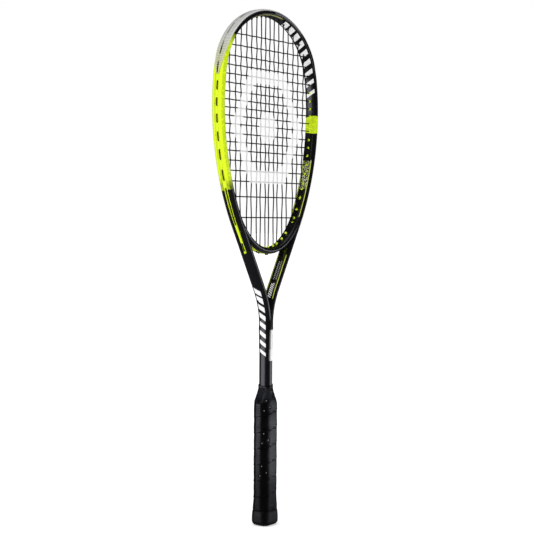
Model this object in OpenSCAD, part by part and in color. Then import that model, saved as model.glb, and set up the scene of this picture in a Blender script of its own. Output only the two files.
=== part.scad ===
// Squash racket: teardrop head, split throat with a bridge, round shaft and wrapped handle.
// The racket stands on its butt end: +Z runs up the shaft to the tip of the head, X goes across
// the head and Y through its thickness, with the front face towards -Y. Sizes are in millimetres.

/* [Overall] */
// Overall length from the butt to the tip of the head
racket_length = 686; // [670:1:686]
// Depth of the frame tube, through the string bed
frame_depth = 18.6; // [16:0.2:20]
// Width of the frame tube, seen face on
frame_width = 9.4; // [9:0.2:10]
// Wall thickness of the frame tube
frame_wall = 1.1; // [1:0.1:1.6]

/* [Head] */
// Radius of the centreline over the top of the head
top_r = 106; // [100:1:110]
// Half angle of the top arc
top_a = 36; // [34:1:38]
// Radius of the centreline at the shoulders of the head
shoulder_r = 92.5; // [90:0.5:96]
// Angle of each shoulder arc
shoulder_a = 45; // [43:1:47]
// Radius of the centreline along the upper sides
side_r = 276; // [260:1:290]
// Radius of the centreline along the lower sides
lower_r = 318; // [310:1:325]
// Angle of each lower side arc, which is also the lean of the throat legs
lower_a = 29; // [28:0.5:30]

/* [Throat and shaft] */
// Radius of the arc that turns a throat leg into the shaft
crotch_r = 105; // [95:1:115]
// Distance of each leg's centreline from the middle of the shaft
leg_offset = 1.6; // [1.2:0.1:2]
// Height of the bridge's inner face at the middle
bridge_z = 371.6; // [370:0.2:374]
// Inner radius of the middle of the bridge
bridge_r = 60; // [58:1:64]
// Thickness of the bridge, seen face on
bridge_t = 9; // [8:0.5:9.5]
// Depth of the bridge, through the string bed
bridge_depth = 17.6; // [16:0.2:18]

/* [Stringing] */
// Diameter of the string
string_d = 1.2; // [1.1:0.05:1.3]
// Distance of each main string from the middle at the top of the head
main_top = [4.6, 14.2, 24, 34.8, 45.2, 57, 68.7, 81.6];
// Distance of each main string from the middle at the throat
main_low = [3.5, 15, 23, 35, 44.5, 57.4, 66.5, 78];
// Height of each cross string, from the top down
cross_z = [647.5, 632.5, 618.5, 606.5, 595, 583.5, 572.5, 562, 552, 541.5,
           531, 519, 508, 497, 484.5, 471.5, 458, 438, 411];

/* [Handle] */
// Length of the handle, from the butt to the top of the grip
handle_length = 189; // [180:1:195]
// Width of the wrapped grip, along X
grip_width = 30; // [28:0.5:32]
// Thickness of the wrapped grip, along Y
grip_depth = 25; // [24:0.5:27]
// Corner radius of the wrapped grip
grip_corner = 9; // [8:0.5:10]
// Thickness of the grip wrap
wrap_t = 1.8; // [1.4:0.1:2]
// Height of the butt cap's visible rim
butt_height = 20; // [18:1:22]
// Width of the butt cap, along X
butt_width = 33.5; // [32:0.5:36]
// Thickness of the butt cap, along Y
butt_depth = 28.5; // [27:0.5:30]
// Corner radius of the butt cap
butt_corner = 10; // [9:0.5:11]

/* [Hidden] */

// half sizes of the tube's section, n across the tube face on and y through it
hb = frame_width / 2;
ha = frame_depth / 2;
section_power = 2.5;        // roundness of the section: 2 is an ellipse, more is squarer
section_points = 28;
far = 60;                   // reach of the cutting blocks

// neighbouring stretches of a sweep overlap by a hair, and every second one is a hair thinner
lap = 0.02;
thinner = 0.01;

// string groove along the outside of the tube, and what lies in it
groove_floor = 2.5;         // distance of the groove's floor from the tube's centreline
groove_half = 3.4;          // half width of the groove
strip_t = 0.9;              // thickness of a grommet strip
fit_gap = 0.05;             // gap between pressed plastic parts and the tube
run_n = groove_floor + strip_t + string_d / 2 + 0.05;   // string runs in the groove

// grommet barrels
barrel_r = 1.4;
bore_r = 0.8;
barrel_out = 1.8;           // length standing out of the tube's inner face
tip_n = -hb - barrel_out;

// bumper guard
bumper_t = 1.2;
bumper_end = 83;            // angle from the top at which the guard ends
bumper_slot = 1.5;          // half width of its string groove
bumper_edge = 0;            // n at which its front and back edges end
top_z = racket_length - section(ha + bumper_t, hb + bumper_t)[0].x;

// weave: the mains are pulled straight and the crosses pass over and under them
weave = string_d + 0.05;
string_sides = 6;

// the four arcs of the centreline on the +X side: radius, end angle and centre, where
// angles run from the top of the head towards +X
arc_r = [top_r, shoulder_r, side_r, lower_r];
arc_end = [top_a, top_a + shoulder_a, 90, 90 + lower_a];
arc_start = [0, arc_end[0], arc_end[1], arc_end[2]];
function along(t) = [sin(t), cos(t)];
c0 = [0, top_z - top_r];
c1 = c0 + (top_r - shoulder_r) * along(arc_end[0]);
c2 = c1 + (shoulder_r - side_r) * along(arc_end[1]);
c3 = c2 + (side_r - lower_r) * along(90);
arc_c = [c0, c1, c2, c3];

// the straight part of a leg hangs from the end of the last arc, and the crotch arc ends it
leg_top = c3 + lower_r * along(90 + lower_a);
leg_len = (leg_top.x - leg_offset - crotch_r * (1 - cos(lower_a))) / sin(lower_a);
leg_down = [-sin(lower_a), -cos(lower_a)];
leg_out = [cos(lower_a), -sin(lower_a)];
leg_foot = leg_top + leg_len * leg_down;
crotch_c = leg_foot + crotch_r * leg_out;
shaft_top = crotch_c.y;
head_overrun = 14;          // how far the head tube runs on down the straight
groove_len = 42;            // how far the outer groove runs down the straight
septum = 0.6;               // wall of each leg against the middle plane

// the bridge is a middle arc and two flatter arcs that meet the legs almost tangentially
bridge_c = [0, bridge_z + bridge_r];
bridge_a = 35;              // half angle of the middle arc
bridge_end = 56;            // angle at which the bridge ends
bridge_hollow = 38;         // angle at which its hollow ends
bridge_wall = 1.4;
leg_inner = leg_top - hb * leg_out;
line_gap = leg_out.x * leg_inner.x + leg_out.y * (leg_inner.y - bridge_z);
bridge_turn = cos(90 - lower_a - bridge_a);
blend_r = (line_gap + (-leg_out.y) * bridge_r - bridge_r * bridge_turn) / (1 - bridge_turn);
blend_c = bridge_c + (bridge_r - blend_r) * [sin(bridge_a), -cos(bridge_a)];

// handle sizes inside the wrap
pallet_w = grip_width - 2 * wrap_t;
pallet_d = grip_depth - 2 * wrap_t;
pallet_corner = grip_corner - wrap_t;
shoulder_z = 162;           // where the handle starts to narrow
pallet_top = handle_length - 4;
pallet_low = 4;             // thickness of the butt cap's floor
skirt_t = 0.8;              // the butt cap's skirt, which runs up under the wrap
skirt_h = 10;
butt_widest = 12;           // height of the butt cap's widest level
butt_edge = 6;              // radius of its bottom edge
grip_top = handle_length - 5;    // where the wrap ends and the finishing tape starts
grip_end = 2.1;             // how far the wrap stands off the shaft there
tape_h = 6.5;
tape_end = 0.6;             // thickness of the finishing tape's upper edge
weight_low = 8;             // ends of the balance weight in the shaft's hollows
weight_top = 30;
tack_len = 3.4;             // tacks that hold the butt cap's skirt
tack_r = 0.6;
tack_head_r = 2;

/* ---------- helpers ---------- */

function sgn_pow(v, e) = sign(v) * pow(abs(v), e);

// closed outline of a rounded section with half sizes b along n and a along y; its points
// miss the axes, so a flat facet faces each way and the string holes meet no corner
function section(a, b, count = section_points) =
    [for (i = [0 : count - 1]) let (t = 360 * (i + 0.5) / count)
        [b * sgn_pow(cos(t), 2 / section_power), a * sgn_pow(sin(t), 2 / section_power)]];

function lap_angle(r) = lap * 180 / PI / r;

// sweeps a section, given as (n, y), round the arc k between angles t0 and t1
module on_arc(k, t0, t1) {
    $inset = thinner * (k % 2);
    translate([arc_c[k].x, 0, arc_c[k].y])
        rotate([90, 0, 0])
            rotate_extrude(angle = t1 - t0, start = 90 - t1, $fn = 240)
                translate([arc_r[k], 0]) children();
}

// the same from the start of arc k to angle t, or all round it
module from_start(k, t) {
    on_arc(k, arc_start[k] - lap_angle(arc_r[k]), t) children();
}

module whole_arc(k) {
    from_start(k, arc_end[k] + lap_angle(arc_r[k])) children();
}

// the same along the straight part of the +X leg, from s0 to s1 below its top
module on_leg(s0, s1) {
    $inset = 0;
    translate([leg_top.x, 0, leg_top.y])
        rotate([0, lower_a, 0])
            translate([0, 0, -s1]) linear_extrude(s1 - s0) children();
}

module both_sides() {
    children();
    mirror([1, 0, 0]) children();
}

// a section swept all round the head down to distance s on each leg
module round_head(s = head_overrun) {
    on_arc(0, -top_a, top_a) children();
    both_sides() {
        for (k = [1 : 3])
            whole_arc(k) children();
        on_leg(-lap, s) children();
    }
}

// a section swept down one leg from distance s0 to the shaft
module down_leg(s0) {
    $inset = thinner;
    on_leg(s0, leg_len + lap) children();
    translate([crotch_c.x, 0, crotch_c.y])
        rotate([90, 0, 0])
            rotate_extrude(angle = lower_a, start = 180 - lower_a, $fn = 240)
                translate([crotch_r, 0]) mirror([1, 0]) children();
}

// sections that follow the thinning of the stretch they are swept along
module tube_section(grow = 0) {
    polygon(section(ha + grow - $inset, hb + grow - $inset));
}

module hollow_section() {
    polygon([for (p = section(ha - frame_wall - $inset, hb - frame_wall - $inset, 20))
        [min(p.x, groove_floor - frame_wall - $inset), p.y]]);
}

module groove_section() {
    translate([groove_floor + $inset, $inset - groove_half])
        square([far / 10, 2 * (groove_half - $inset)]);
}

module rounded_rect(w, d, r, grow = 0) {
    hull()
        for (x = [-1, 1], y = [-1, 1])
            translate([x * (w / 2 - r), y * (d / 2 - r)]) circle(r + grow, $fn = 32);
}

// outline at distance t outside the shaft
module around_shaft(t) {
    rounded_rect(2 * (hb + leg_offset + t), frame_depth + 2 * t, 5);
}

// exact rounded block standing on z0
module rounded_block(w, d, r, z0, z1) {
    translate([0, 0, z0]) linear_extrude(z1 - z0) {
        square([w - 2 * r, d], center = true);
        square([w, d - 2 * r], center = true);
        for (x = [-1, 1], y = [-1, 1])
            translate([x * (w / 2 - r), y * (d / 2 - r)]) circle(r, $fn = 48);
    }
}

/* ---------- string places ---------- */

function arc_of_angle(t) = t < arc_end[0] ? 0 : t < arc_end[1] ? 1 : t < arc_end[2] ? 2 : 3;

// point at distance n from the centreline, at angle t
function at(t, n) = arc_c[arc_of_angle(t)] + (arc_r[arc_of_angle(t)] + n) * along(t);

// angle at which a vertical string at x, or a level string at z, meets the barrel tips
function top_angle(x) =
    let (a = asin(x / (arc_r[0] + tip_n)))
    a < arc_end[0] ? a : asin((x - c1.x) / (arc_r[1] + tip_n));
function low_angle(x) = 180 - asin((x - c3.x) / (arc_r[3] + tip_n));
function side_angle(z) =
    let (a = acos((z - c1.y) / (arc_r[1] + tip_n)), b = acos((z - c2.y) / (arc_r[2] + tip_n)))
    z > c1.y + (arc_r[1] + tip_n) * cos(arc_end[1]) ? a :
    z > c2.y ? b : acos((z - c3.y) / (arc_r[3] + tip_n));

mains = len(main_top);      // main strings on each side of the middle
throat_mains = 5;           // of these, the ones that end in the bridge
crosses = len(cross_z);
guard_crosses = 5;          // crosses whose barrels belong to the bumper guard

main_top_a = [for (x = main_top) top_angle(x)];
main_low_a = [for (i = [throat_mains : mains - 1]) low_angle(main_low[i])];
cross_a = [for (z = cross_z) side_angle(z)];

// radial peg through the tube on the +X side at angle t, from n0 to n1
module peg(t, r, n0, n1) {
    c = at(t, n0);
    translate([c.x, 0, c.y]) rotate([0, t, 0]) cylinder(h = n1 - n0, r = r, $fn = 24);
}

module grommet_holes(r, n0, n1) {
    both_sides() {
        for (t = main_top_a) peg(t, r, n0, n1);
        for (t = main_low_a) peg(t, r, n0, n1);
        for (t = cross_a) peg(t, r, n0, n1);
    }
}

/* ---------- bridge places ---------- */

// bridge points by angle from straight down, at depth n below the inner face
function on_bridge(q, n) =
    abs(q) < bridge_a ? bridge_c + (bridge_r + n) * [sin(q), -cos(q)]
    : [sign(q), 1] * [[blend_c.x, 0], [0, blend_c.y]] + (blend_r + n) * [sin(q), -cos(q)];
function bridge_angle(x) =
    x < bridge_r * sin(bridge_a) ? asin(x / bridge_r) : asin((x - blend_c.x) / blend_r);
bridge_in = [for (i = [0 : throat_mains - 1]) on_bridge(bridge_angle(main_low[i]), -barrel_out)];
// the outermost throat grommet leans inwards, clear of the leg
bridge_out_x = [3.5, 15, 23, 34, 39.5];
bridge_out = [for (i = [0 : throat_mains - 1])
    let (q = asin(bridge_out_x[i] / (bridge_r + bridge_t))) on_bridge(q, bridge_t + 0.2)];

module bridge_peg(i, r, over = 0) {
    a = bridge_in[i];
    b = bridge_out[i];
    d = b - a;
    translate([a.x, 0, a.y])
        rotate([0, atan2(d.x, d.y), 0])
            translate([0, 0, -over]) cylinder(h = norm(d) + 2 * over, r = r, $fn = 24);
}

// sweeps a section, given as (depth below the inner face, y), along the bridge to angle q
module along_bridge(q) {
    translate([bridge_c.x, 0, bridge_c.y]) rotate([90, 0, 0])
        rotate_extrude(angle = 2 * bridge_a, start = -90 - bridge_a, $fn = 240)
            translate([bridge_r, 0]) children($inset = 0);
    both_sides() translate([blend_c.x, 0, blend_c.y]) rotate([90, 0, 0])
        rotate_extrude(angle = q - bridge_a + lap_angle(blend_r),
                       start = -90 + bridge_a - lap_angle(blend_r), $fn = 240)
            translate([blend_r, 0]) children($inset = thinner);
}

/* ---------- frame ---------- */

module groove_on_leg(s0, s1) {
    on_leg(s0, s1 - groove_half) groove_section();
    translate([leg_top.x, 0, leg_top.y]) rotate([0, lower_a, 0])
        translate([groove_floor, 0, groove_half - s1]) rotate([0, 90, 0])
            cylinder(h = far / 10, r = groove_half, $fn = 48);
}

module head_tube() {
    color([0.07, 0.07, 0.08]) difference() {
        round_head() tube_section();
        round_head() hollow_section();
        round_head() groove_section();
        grommet_holes(barrel_r + fit_gap, -hb - 1, hb);
    }
}

module leg_solid() {
    difference() {
        down_leg(head_overrun) tube_section();
        translate([-far, -far, shaft_top - 1]) cube([far, 2 * far, 200]);
        groove_on_leg(head_overrun - 1, groove_len);
    }
}

module leg_hollow() {
    difference() {
        down_leg(head_overrun) hollow_section();
        translate([septum - far, -far, shaft_top - 1]) cube([far, 2 * far, 200]);
    }
}

module throat_leg() {
    difference() {
        leg_solid();
        leg_hollow();
    }
}

module left_throat_leg() {
    color([0.07, 0.07, 0.08]) mirror([1, 0, 0]) throat_leg();
}

module right_throat_leg() {
    color([0.07, 0.07, 0.08]) throat_leg();
}

module throat_bridge() {
    color([0.08, 0.08, 0.09]) difference() {
        along_bridge(bridge_end) translate([bridge_t / 2, 0])
            polygon(section(bridge_depth / 2 - $inset, bridge_t / 2 - $inset));
        along_bridge(bridge_hollow) translate([bridge_t / 2, 0])
            polygon(section(bridge_depth / 2 - bridge_wall - $inset,
                            bridge_t / 2 - bridge_wall - $inset, 20));
        both_sides() {
            whole_arc(3) tube_section();
            on_leg(-lap, 70) tube_section();
            for (i = [0 : throat_mains - 1]) bridge_peg(i, barrel_r + fit_gap, 3);
            for (t = [main_low_a[0], cross_a[crosses - 1]])
                peg(t, barrel_r + fit_gap, tip_n, hb);
        }
    }
}

module shaft_half(inset, low, high) {
    $inset = 0;
    translate([0, 0, low]) linear_extrude(high - low)
        translate([leg_offset, 0])
            if (inset) hollow_section();
            else tube_section();
}

module shaft_tube() {
    color([0.07, 0.07, 0.09]) both_sides() difference() {
        shaft_half(false, pallet_low, shaft_top);
        translate([-far, -far, 0]) cube([far, 2 * far, 400]);
        difference() {
            shaft_half(true, pallet_low - 1, shaft_top + 1);
            translate([septum - far, -far, 0]) cube([far, 2 * far, 400]);
        }
    }
}

// the two hollows of the shaft are filled with foam from the handle to the throat
module foam(low, high) {
    both_sides() difference() {
        shaft_half(true, low, high);
        translate([septum - far, -far, 0]) cube([far, 2 * far, 400]);
    }
}

module shaft_foam_cores() {
    color([0.85, 0.82, 0.7]) foam(weight_top, shaft_top - 2);
}

module balance_weight() {
    color([0.4, 0.4, 0.42]) foam(weight_low, weight_top);
}

/* ---------- bumper guard and grommet strips ---------- */

module bumper_section() {
    difference() {
        tube_section(bumper_t);
        tube_section(fit_gap + 2 * $inset);
        translate([-far, -far]) square([far + bumper_edge + $inset, 2 * far]);
    }
    translate([groove_floor + fit_gap + $inset, $inset + fit_gap - groove_half])
        square([hb - groove_floor, 2 * (groove_half - fit_gap - $inset)]);
}

module bumper_guard() {
    color([0.78, 0.79, 0.80]) difference() {
        union() {
            on_arc(0, -top_a, top_a) bumper_section();
            both_sides() {
                whole_arc(1) bumper_section();
                from_start(2, bumper_end) bumper_section();
                for (t = main_top_a) peg(t, barrel_r, tip_n, groove_floor + 0.5);
                for (i = [0 : guard_crosses - 1])
                    peg(min(cross_a[i], bumper_end - 0.6), barrel_r, tip_n, groove_floor + 0.5);
            }
        }
        on_arc(0, -top_a, top_a) guard_groove();
        both_sides() {
            whole_arc(1) guard_groove();
            from_start(2, bumper_end + 1) guard_groove();
            for (t = main_top_a) peg(t, bore_r, tip_n - 1, hb);
            for (i = [0 : guard_crosses - 1])
                peg(min(cross_a[i], bumper_end - 0.6), bore_r, tip_n - 1, hb);
        }
    }
}

module guard_groove() {
    translate([groove_floor + strip_t + $inset, $inset - bumper_slot])
        square([far / 10, 2 * (bumper_slot - $inset)]);
}

module strip_section() {
    translate([groove_floor + fit_gap + $inset, $inset + 2 * fit_gap - groove_half])
        square([strip_t - fit_gap - 2 * $inset, 2 * (groove_half - 2 * fit_gap - $inset)]);
}

module side_strip() {
    first = guard_crosses;
    difference() {
        union() {
            on_arc(2, bumper_end, arc_end[2] + lap_angle(arc_r[2])) strip_section();
            whole_arc(3) strip_section();
            on_leg(-lap, groove_len - groove_half) strip_section();
            translate([leg_top.x, 0, leg_top.y]) rotate([0, lower_a, 0])
                translate([groove_floor + fit_gap, 0, groove_half - groove_len]) rotate([0, 90, 0])
                    cylinder(h = strip_t - fit_gap, r = groove_half - 2 * fit_gap, $fn = 48);
            for (i = [first : crosses - 1]) peg(cross_a[i], barrel_r, tip_n, groove_floor + 0.5);
            for (t = main_low_a) peg(t, barrel_r, tip_n, groove_floor + 0.5);
        }
        for (i = [first : crosses - 1]) peg(cross_a[i], bore_r, tip_n - 1, hb);
        for (t = main_low_a) peg(t, bore_r, tip_n - 1, hb);
    }
}

module left_grommet_strip() {
    color([0.80, 0.86, 0.10]) mirror([1, 0, 0]) side_strip();
}

module right_grommet_strip() {
    color([0.80, 0.86, 0.10]) side_strip();
}

module throat_grommet_strip() {
    half = 3.2;
    reach = 37;
    color([0.80, 0.86, 0.10]) difference() {
        both_sides() {
            along_bridge(reach) translate([bridge_t + 0.2 + $inset, $inset - half])
                square([strip_t - 2 * $inset, 2 * (half - $inset)]);
            for (i = [0 : throat_mains - 1]) bridge_peg(i, barrel_r, 0);
        }
        both_sides() for (i = [0 : throat_mains - 1]) bridge_peg(i, bore_r, 3);
    }
}

/* ---------- strings ---------- */

function unit(v) = v / norm(v);

// direction of the route at point i: the mean of the stretches before and after it
function step_from(p, i) = i < 0 || i > len(p) - 2 ? [0, 0, 0] : unit(p[i + 1] - p[i]);
function heading(p, i) = unit(step_from(p, i - 1) + step_from(p, i));

// a round string along the route p, which stays close to the XZ plane
module string_along(p, r) {
    n = len(p);
    s = string_sides;
    points = [for (i = [0 : n - 1])
        let (t = heading(p, i), v = unit(cross(t, [0, 1, 0])), u = cross(v, t))
        for (j = [0 : s - 1]) p[i] + r * (cos(360 * j / s) * v + sin(360 * j / s) * u)];
    sides = [for (i = [0 : n - 2], j = [0 : s - 1])
        let (a = i * s + j, b = i * s + (j + 1) % s)
        each [[a, b, b + s], [a, b + s, a + s]]];
    caps = [[for (j = [s - 1 : -1 : 0]) j], [for (j = [0 : s - 1]) (n - 1) * s + j]];
    polyhedron(points, concat(sides, caps));
}

function lift(p, y = 0, side = 1) = [side * p.x, y, p.y];

corner = 0.9;               // rounding where a string turns into the groove

// the outside turn of a string at angle t, leaving towards angle t + dt
function turn(t, dt, side) =
    let (step = sign(dt) * corner * 180 / PI / arc_r[arc_of_angle(t)])
    [lift(at(t, run_n - corner), 0, side), lift(at(t + step, run_n), 0, side)];

// ends of main string i, counted from the left, as pairs of inner tip and outer turn
function main_side(i) = i < mains ? -1 : 1;
function main_rank(i) = i < mains ? mains - 1 - i : i - mains;
function signed_angle(i) = main_side(i) * main_top_a[main_rank(i)];

// upper end: tip, then the turn towards its partner, which is the next main to the right or left
function upper_end(i, to_right) =
    let (k = main_rank(i), s = main_side(i), t = main_top_a[k])
    concat([lift(at(t, tip_n), 0, s)], turn(t, (to_right ? 1 : -1) * s, s));

// lower end at the shoulders or through the bridge
function lower_end(i, to_right) =
    let (k = main_rank(i), s = main_side(i), dir = (to_right ? 1 : -1) * s)
    k >= throat_mains
        ? let (t = main_low_a[k - throat_mains])
          concat([lift(at(t, tip_n), 0, s)], turn(t, -dir, s))
        : let (a = bridge_in[k], b = bridge_out[k], d = unit(b - a),
               q = atan2(b.x, bridge_c.y - b.y), n = bridge_t + 0.2 + strip_t + string_d / 2 + 0.05,
               step = dir * corner * 180 / PI / (bridge_r + n))
          [lift(a, 0, s), lift(b + (strip_t - 0.3) * d, 0, s),
           lift(bridge_c + (bridge_r + n) * [sin(q + step), -cos(q + step)], 0, s)];

function flip(list) = [for (i = [len(list) - 1 : -1 : 0]) list[i]];

// a main that goes up starts at its lower end, and one that goes down at its upper end
function main_route() = concat(
    tie_start(),
    [for (i = [0 : 2 * mains - 1])
        let (rises = i % 2 == 0, last = i == 0 || i == 2 * mains - 1,
             low = last ? end_of_main(i) : lower_end(i, !rises), high = upper_end(i, rises))
        each (rises ? concat(flip(low), high) : concat(flip(high), low))],
    tie_finish());

// the outermost mains turn down the groove to the next grommet and come back in beside its string
function end_of_main(i) =
    let (t = main_low_a[mains - 1 - throat_mains], s = main_side(i))
    concat([lift(at(t, tip_n), 0, s)], turn(t, 1, s));
tie_t = main_low_a[mains - 1 - throat_mains] + 2.2;
function tie_leg(s) = [lift(at(tie_t, run_n), 0, s), lift(at(tie_t + 0.2, run_n - corner), 0, s),
                       lift(at(tie_t + 0.2, tip_n - 0.6), 0, s)];
function tie_start() = flip(tie_leg(-1));
function tie_finish() = tie_leg(1);

module main_string() {
    color([0.05, 0.05, 0.05]) string_along(main_route(), string_d / 2);
}

// heights of the barrel tips that the mains of rank k run between
function main_high_z(k) = at(main_top_a[k], tip_n).y;
function main_low_z(k) =
    k >= throat_mains ? at(main_low_a[k - throat_mains], tip_n).y : bridge_in[k].y;

// x of main i at height z, and whether it meets a cross at that height
function main_x(i, z) =
    let (k = main_rank(i), low = main_low_z(k), f = (z - low) / (main_high_z(k) - low))
    main_side(i) * (main_low[k] + (main_top[k] - main_low[k]) * f);
function main_reaches(i, z) =
    let (k = main_rank(i)) z < main_high_z(k) - 1.5 && z > main_low_z(k) + 1.5;

// cross string j runs to the right when j is even
function cross_row(j) =
    let (z = cross_z[j], t = cross_a[j], s = j % 2 == 0 ? 1 : -1,
         over = [for (i = [0 : 2 * mains - 1]) if (main_reaches(i, z))
             [main_x(i, z), (i + j) % 2 == 0 ? weave : -weave, z]],
         start = j == 0 ? cross_tie(t, -1) : turn(t, -1, -s),
         stop = j == crosses - 1 ? cross_tie(t, 1) : turn(t, 1, s))
    concat(flip(start), [lift(at(t, tip_n), 0, -s)], s > 0 ? over : flip(over),
           [lift(at(t, tip_n), 0, s)], stop);
function cross_tie(t, side) =
    let (dir = side < 0 ? 1 : -1, t1 = t + dir * tie_span(t))
    concat(turn(t, dir, side), [lift(at(t1, run_n), 0, side),
                                lift(at(t1 + dir * 0.2, run_n - corner), 0, side),
                                lift(at(t1 + dir * 0.2, tip_n - 0.6), 0, side)]);
function tie_span(t) = t > 90 ? 1.0 : 3.2;    // angle to the next grommet
function cross_route() = [for (j = [0 : crosses - 1]) each cross_row(j)];

module cross_string() {
    color([0.05, 0.05, 0.05]) string_along(cross_route(), string_d / 2);
}

module tie_off_knots() {
    color([0.05, 0.05, 0.05]) both_sides()
        translate(lift(at(tie_t + 0.2, tip_n - 1.4))) sphere(r = 1.3, $fn = 24);
}

/* ---------- handle ---------- */

// outside of the moulded handle under the wrap: straight, then narrowing to the shaft
module pallet_outside() {
    rounded_block(pallet_w, pallet_d, pallet_corner, pallet_low, shoulder_z);
    hull() {
        translate([0, 0, shoulder_z - 0.01]) linear_extrude(0.01)
            rounded_rect(pallet_w, pallet_d, pallet_corner);
        translate([0, 0, pallet_top - 0.01]) linear_extrude(0.01)
            around_shaft(0.7);
    }
}

module pallet(side) {
    difference() {
        pallet_outside();
        translate([-far, side > 0 ? -far : 0, -1]) cube([2 * far, far, 400]);
        both_sides() shaft_half(false, 0, 300);
        skirt_recess();
    }
}

module skirt_recess() {
    difference() {
        translate([-far, -far, 0]) cube([2 * far, 2 * far, butt_height + skirt_h]);
        rounded_block(pallet_w - 2 * skirt_t, pallet_d - 2 * skirt_t, pallet_corner - skirt_t,
                      -1, butt_height + skirt_h + 1);
    }
}

module front_handle_pallet() {
    color([0.16, 0.16, 0.17]) pallet(-1);
}

module back_handle_pallet() {
    color([0.18, 0.18, 0.19]) pallet(1);
}

module butt_cap() {
    color([0.06, 0.06, 0.06]) difference() {
        union() {
            hull() {
                for (a = [0, 30, 60])
                    translate([0, 0, butt_edge * (1 - cos(a))]) linear_extrude(0.01)
                        rounded_rect(butt_width, butt_depth, butt_corner, -butt_edge * (1 - sin(a)));
                translate([0, 0, butt_widest]) linear_extrude(0.01)
                    rounded_rect(butt_width, butt_depth, butt_corner);
                translate([0, 0, butt_height - 0.01]) linear_extrude(0.01)
                    rounded_rect(butt_width, butt_depth, butt_corner, -1.1);
            }
            rounded_block(pallet_w, pallet_d, pallet_corner, butt_height - 1, butt_height + skirt_h);
        }
        rounded_block(pallet_w - 2 * skirt_t, pallet_d - 2 * skirt_t, pallet_corner - skirt_t,
                      pallet_low, butt_height + skirt_h + 1);
    }
}

module butt_cap_tacks() {
    color([0.75, 0.75, 0.77])
        for (side = [-1, 1])
            translate([0, side * (pallet_d / 2 - tack_len), butt_height + skirt_h / 2])
                rotate([-side * 90, 0, 0]) {
                    cylinder(h = tack_len, r = tack_r, $fn = 24);
                    translate([0, 0, tack_len]) cylinder(h = 0.5, r = tack_head_r, $fn = 24);
                }
}

module grip_wrap() {
    color([0.05, 0.05, 0.05]) difference() {
        union() {
            rounded_block(grip_width, grip_depth, grip_corner, butt_height, shoulder_z);
            hull() {
                translate([0, 0, shoulder_z - 0.01]) linear_extrude(0.01)
                    rounded_rect(grip_width, grip_depth, grip_corner);
                translate([0, 0, grip_top]) linear_extrude(0.01) around_shaft(grip_end);
            }
        }
        pallet_outside();
        rounded_block(pallet_w, pallet_d, pallet_corner, -1, shoulder_z);
        translate([0, 0, butt_height + skirt_h / 2]) rotate([90, 0, 0])
            cylinder(h = pallet_d + 1, r = tack_head_r + 0.1, center = true, $fn = 24);
    }
}

module finishing_tape() {
    color([0.10, 0.10, 0.11]) difference() {
        hull() {
            translate([0, 0, grip_top + 0.1]) linear_extrude(0.01) around_shaft(grip_end);
            translate([0, 0, grip_top + tape_h]) linear_extrude(0.01) around_shaft(tape_end);
        }
        both_sides() shaft_half(false, 0, 300);
        pallet_outside();
    }
}

head_tube();
left_throat_leg();
right_throat_leg();
throat_bridge();
shaft_tube();
shaft_foam_cores();
balance_weight();
bumper_guard();
left_grommet_strip();
right_grommet_strip();
throat_grommet_strip();
main_string();
cross_string();
tie_off_knots();
front_handle_pallet();
back_handle_pallet();
butt_cap();
butt_cap_tacks();
grip_wrap();
finishing_tape();
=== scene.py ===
"""Looks of the squash racket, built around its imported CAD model.

Lengths are in millimetres until a mesh is made. A place on the frame tube is given by its distance
"along" the centreline from the tip of the head, by n, outwards from the centreline in the plane of
the strings, and by y, through the string bed with the front face towards -Y. The left half is the
right half mirrored.
"""
import itertools
import math

import bmesh
import bpy
import numpy as np
from mathutils import Matrix, Vector


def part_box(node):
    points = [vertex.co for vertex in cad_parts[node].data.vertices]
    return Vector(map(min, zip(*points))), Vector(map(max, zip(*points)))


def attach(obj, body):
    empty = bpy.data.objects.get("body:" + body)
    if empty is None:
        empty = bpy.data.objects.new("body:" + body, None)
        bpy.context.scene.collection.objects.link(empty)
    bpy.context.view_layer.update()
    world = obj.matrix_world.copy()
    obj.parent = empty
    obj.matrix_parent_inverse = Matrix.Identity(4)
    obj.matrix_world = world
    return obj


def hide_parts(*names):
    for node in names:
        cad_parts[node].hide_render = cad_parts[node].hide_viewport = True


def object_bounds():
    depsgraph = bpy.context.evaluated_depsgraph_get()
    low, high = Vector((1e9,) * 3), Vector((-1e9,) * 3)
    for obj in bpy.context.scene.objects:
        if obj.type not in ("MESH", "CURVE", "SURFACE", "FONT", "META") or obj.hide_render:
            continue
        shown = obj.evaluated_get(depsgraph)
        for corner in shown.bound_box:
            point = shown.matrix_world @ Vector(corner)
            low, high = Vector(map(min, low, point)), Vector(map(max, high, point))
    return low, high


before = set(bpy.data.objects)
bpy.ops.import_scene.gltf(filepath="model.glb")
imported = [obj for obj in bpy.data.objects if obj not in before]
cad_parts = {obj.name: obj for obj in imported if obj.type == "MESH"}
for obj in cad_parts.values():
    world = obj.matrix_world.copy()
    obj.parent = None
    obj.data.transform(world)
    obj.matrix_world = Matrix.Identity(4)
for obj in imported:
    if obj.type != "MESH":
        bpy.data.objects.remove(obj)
CAD_LOW, CAD_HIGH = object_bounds()
MM = 0.001


def top_of(node):
    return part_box(node)[1].z / MM


def low_of(node):
    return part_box(node)[0].z / MM


# ---------------------------------------------------------------- camera

PHOTO_SIDE = 533                # pixels
FOCAL = 1305.3                  # pixels
CAMERA_DISTANCE = 1739.1        # from the racket's axis
CAMERA_AZIMUTH = -52.924        # degrees
CAMERA_HEIGHT = 408.0           # above the butt end
CAMERA_PITCH = -2.043           # degrees, like the next two
CAMERA_ROLL = 0.364
CAMERA_YAW = -0.004


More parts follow.
